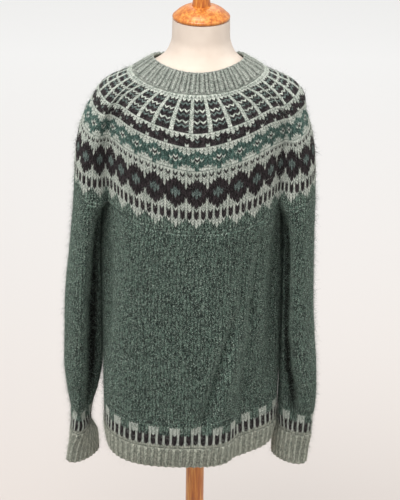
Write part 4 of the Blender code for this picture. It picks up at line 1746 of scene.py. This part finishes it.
@dataclass
class Stand:
    """Neck cap with its knob, pole and round base, all turned."""

    around: int = 96
    cap_radius: float = 0.0497
    cap_rim: float = 0.0075
    cap_dome: float = 0.0170
    dome_edge: float = 0.92  # share of the dome's run at which its rim begins
    dome_powers: tuple[float, float] = (1.8, 0.8)  # inner and outer, 2 and 0.5 being round
    stem_radius: float = 0.0163
    waist: tuple[float, float] = (0.86, 0.012)  # share of the radius, and height over the dome
    throat: float = 0.72  # share of the radius where the stem meets the knob
    knob_radius: float = 0.0195
    knob_top: float = 1.5760
    pole_radius: float = 0.0170
    base_radius: float = 0.1650
    base_height: float = 0.0280
    boss_radius: float = 0.0340
    boss_height: float = 0.0450
    boss_edge: float = 0.006  # radius of its rounded edge
    boss_foot: float = 0.01  # radius of the hollow round its foot

    def cap_profile(self) -> Array:
        """Knob, stem, dome and rounded rim, from the top down.

        Returns:
            Rows (radius, height).
        """
        low = FORM[-1].z + SEAM
        rim_top = low + self.cap_rim
        round_off = self.cap_rim / 2
        run = self.cap_radius - round_off - self.stem_radius
        share = np.linspace(0, self.dome_edge, 14)
        inner, outer = self.dome_powers
        rise = (self.cap_dome - 0.001) * (1 - share**inner) ** outer
        dome = np.stack([self.stem_radius + run * share, rim_top + rise], axis=1)
        lowest = -math.degrees(math.acos(self.stem_radius * self.throat / self.knob_radius))
        knob = arc((0, self.knob_top - self.knob_radius), self.knob_radius, 90, lowest, 22)
        stem = [
            (self.stem_radius * self.waist[0], rim_top + self.cap_dome + self.waist[1]),
            (self.stem_radius, rim_top + self.cap_dome),
        ]
        rim = arc((self.cap_radius - round_off, low + round_off), round_off, 70, -85, 12)
        return np.vstack([knob, stem, dome, rim, [(self.cap_radius - round_off, low), (0, low)]])

    def pole_profile(self) -> Array:
        """A plain round pole with eased ends.

        Returns:
            Rows (radius, height).
        """
        low, top = self.boss_height + SEAM, FORM[0].z - SEAM
        r, ease = self.pole_radius, 0.0006
        steps = np.linspace(top - ease, low + ease, 12)
        shaft = np.stack([np.full(12, r), steps], axis=1)
        return np.vstack([[(0, top), (r - ease, top)], shaft, [(r - ease, low), (0, low)]])

    def base_profile(self) -> Array:
        """A disc with a rounded edge and a boss that holds the pole.

        Returns:
            Rows (radius, height).
        """
        edge, rounded, foot = self.base_height / 2, self.boss_edge, self.boss_foot
        return np.vstack([
            [(0, self.boss_height)],
            arc((self.boss_radius - rounded, self.boss_height - rounded), rounded, 90, 0, 8),
            [(self.boss_radius, self.base_height + 0.004)],
            arc((self.boss_radius + foot, self.base_height + foot), foot, 200, 270, 8),
            arc((self.base_radius - edge, edge), edge, 90, -60, 18),
            [(self.base_radius - edge * 0.8, 0), (0, 0)],
        ])

    def build(self) -> None:
        """Turns the three pieces; the base is cut from boards, so its grain lies flat."""
        upright = Beech().material()
        flat = Beech(name="beech lacquered honey, flat grain", along=(0.06, 1.0, 1.0)).material()
        profiles = {
            "neck_cap": self.cap_profile(), "pole": self.pole_profile(), "stand_base": self.base_profile()
        }
        for node, profile in profiles.items():
            points, triangles = turned(profile, self.around)
            wood = flat if node == "stand_base" else upright
            piece = hard_piece("turned_" + node, points, triangles, wood, 40)
            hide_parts(node)
            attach(piece, "root")
            LOG.info("%s: %d faces", piece.name, len(piece.data.polygons))


@dataclass
class Studio:
    """Pale floor, soft lights and the camera at the photograph's angle."""

    camera_place: tuple[float, float, float] = (0.0036, -3.32, 2.52)
    pitch: float = 24.0
    roll: float = 0.83
    pixels: float = 2015.0  # focal length in pixels of the frame
    frame_height: float = 500.0
    sensor: float = 36.0
    floor_reach: float = 30.0
    surround: float = 0.71  # strength of the white all round

    def floor(self) -> None:
        """A wide flat sheet under the base."""
        mesh = bpy.data.meshes.new("floor")
        side = self.floor_reach
        points = [(-side, -side, 0), (side, -side, 0), (side, side, 0), (-side, side, 0)]
        mesh.from_pydata(points, [], [(0, 1, 2, 3)])
        mesh.materials.append(Paper().material())
        item = placed("floor", mesh)

    def camera(self) -> None:
        """Looks down at the garment from the front, with a long lens."""
        data = bpy.data.cameras.new("camera")
        data.sensor_width = self.sensor
        data.lens = self.pixels / self.frame_height * self.sensor
        item = placed("camera", data)
        item.matrix_world = (
            Matrix.Translation(self.camera_place)
            @ Matrix.Rotation(math.radians(90 - self.pitch), 4, "X")
            @ Matrix.Rotation(math.radians(self.roll), 4, "Z")
        )
        bpy.context.scene.camera = item

    def light(
        self,
        name: str,
        place: tuple[float, float, float],
        size: float,
        power: float,
        tint: str,
        target: tuple[float, float, float] = (0.0, 0.0, 1.1),
    ) -> None:
        """A square soft light that faces the chest or another target.

        Args:
            name: Name of the light.
            place: Where it hangs.
            size: Side of the square in metres.
            power: Watts.
            tint: Hex colour.
            target: What it faces.
        """
        data = bpy.data.lights.new(name, "AREA")
        data.size = size
        data.energy = power
        data.color = linear(tint)[:3]
        z = np.array(place) - np.array(target)
        z /= np.linalg.norm(z)
        x = np.cross([0.0, 1.0, 0.0] if abs(z[2]) > 0.99 else [0.0, 0.0, 1.0], z)
        x /= np.linalg.norm(x)
        y = np.cross(z, x)
        turn = Matrix(np.stack([x, y, z], axis=1).tolist()).to_4x4()
        placed(name, data).matrix_world = Matrix.Translation(place) @ turn

    def build(self) -> None:
        """Sets the stage."""
        self.floor()
        self.camera()
        self.light("key", (-0.6, -1.5, 4.0), 2.0, 122.0, "#fffcf8")
        self.light("fill", (2.6, -1.0, 2.6), 2.4, 24.0, "#fffaf4")
        self.light("back", (0.4, 2.4, 3.4), 2.0, 20.0, "#ffffff")
        self.light("floor glow", (0.0, 6.0, 2.2), 3.0, 5.0, "#ffffff", (0.0, 5.8, 0.0))
        world = bpy.data.worlds.new("studio")
        world.use_nodes = True
        shade = world.node_tree.nodes["Background"]
        shade.inputs["Color"].default_value = linear("#fdfdfc")
        shade.inputs["Strength"].default_value = self.surround
        bpy.context.scene.world = world
        bpy.context.scene.view_settings.view_transform = "Standard"


def main() -> None:
    logging.basicConfig(level=logging.INFO, format="%(message)s")
    Studio().build()
    DressForm().build()
    Stand().build()
    Pullover().build()
    LOG.info("boxes written")


if __name__ == "__main__":
    main()
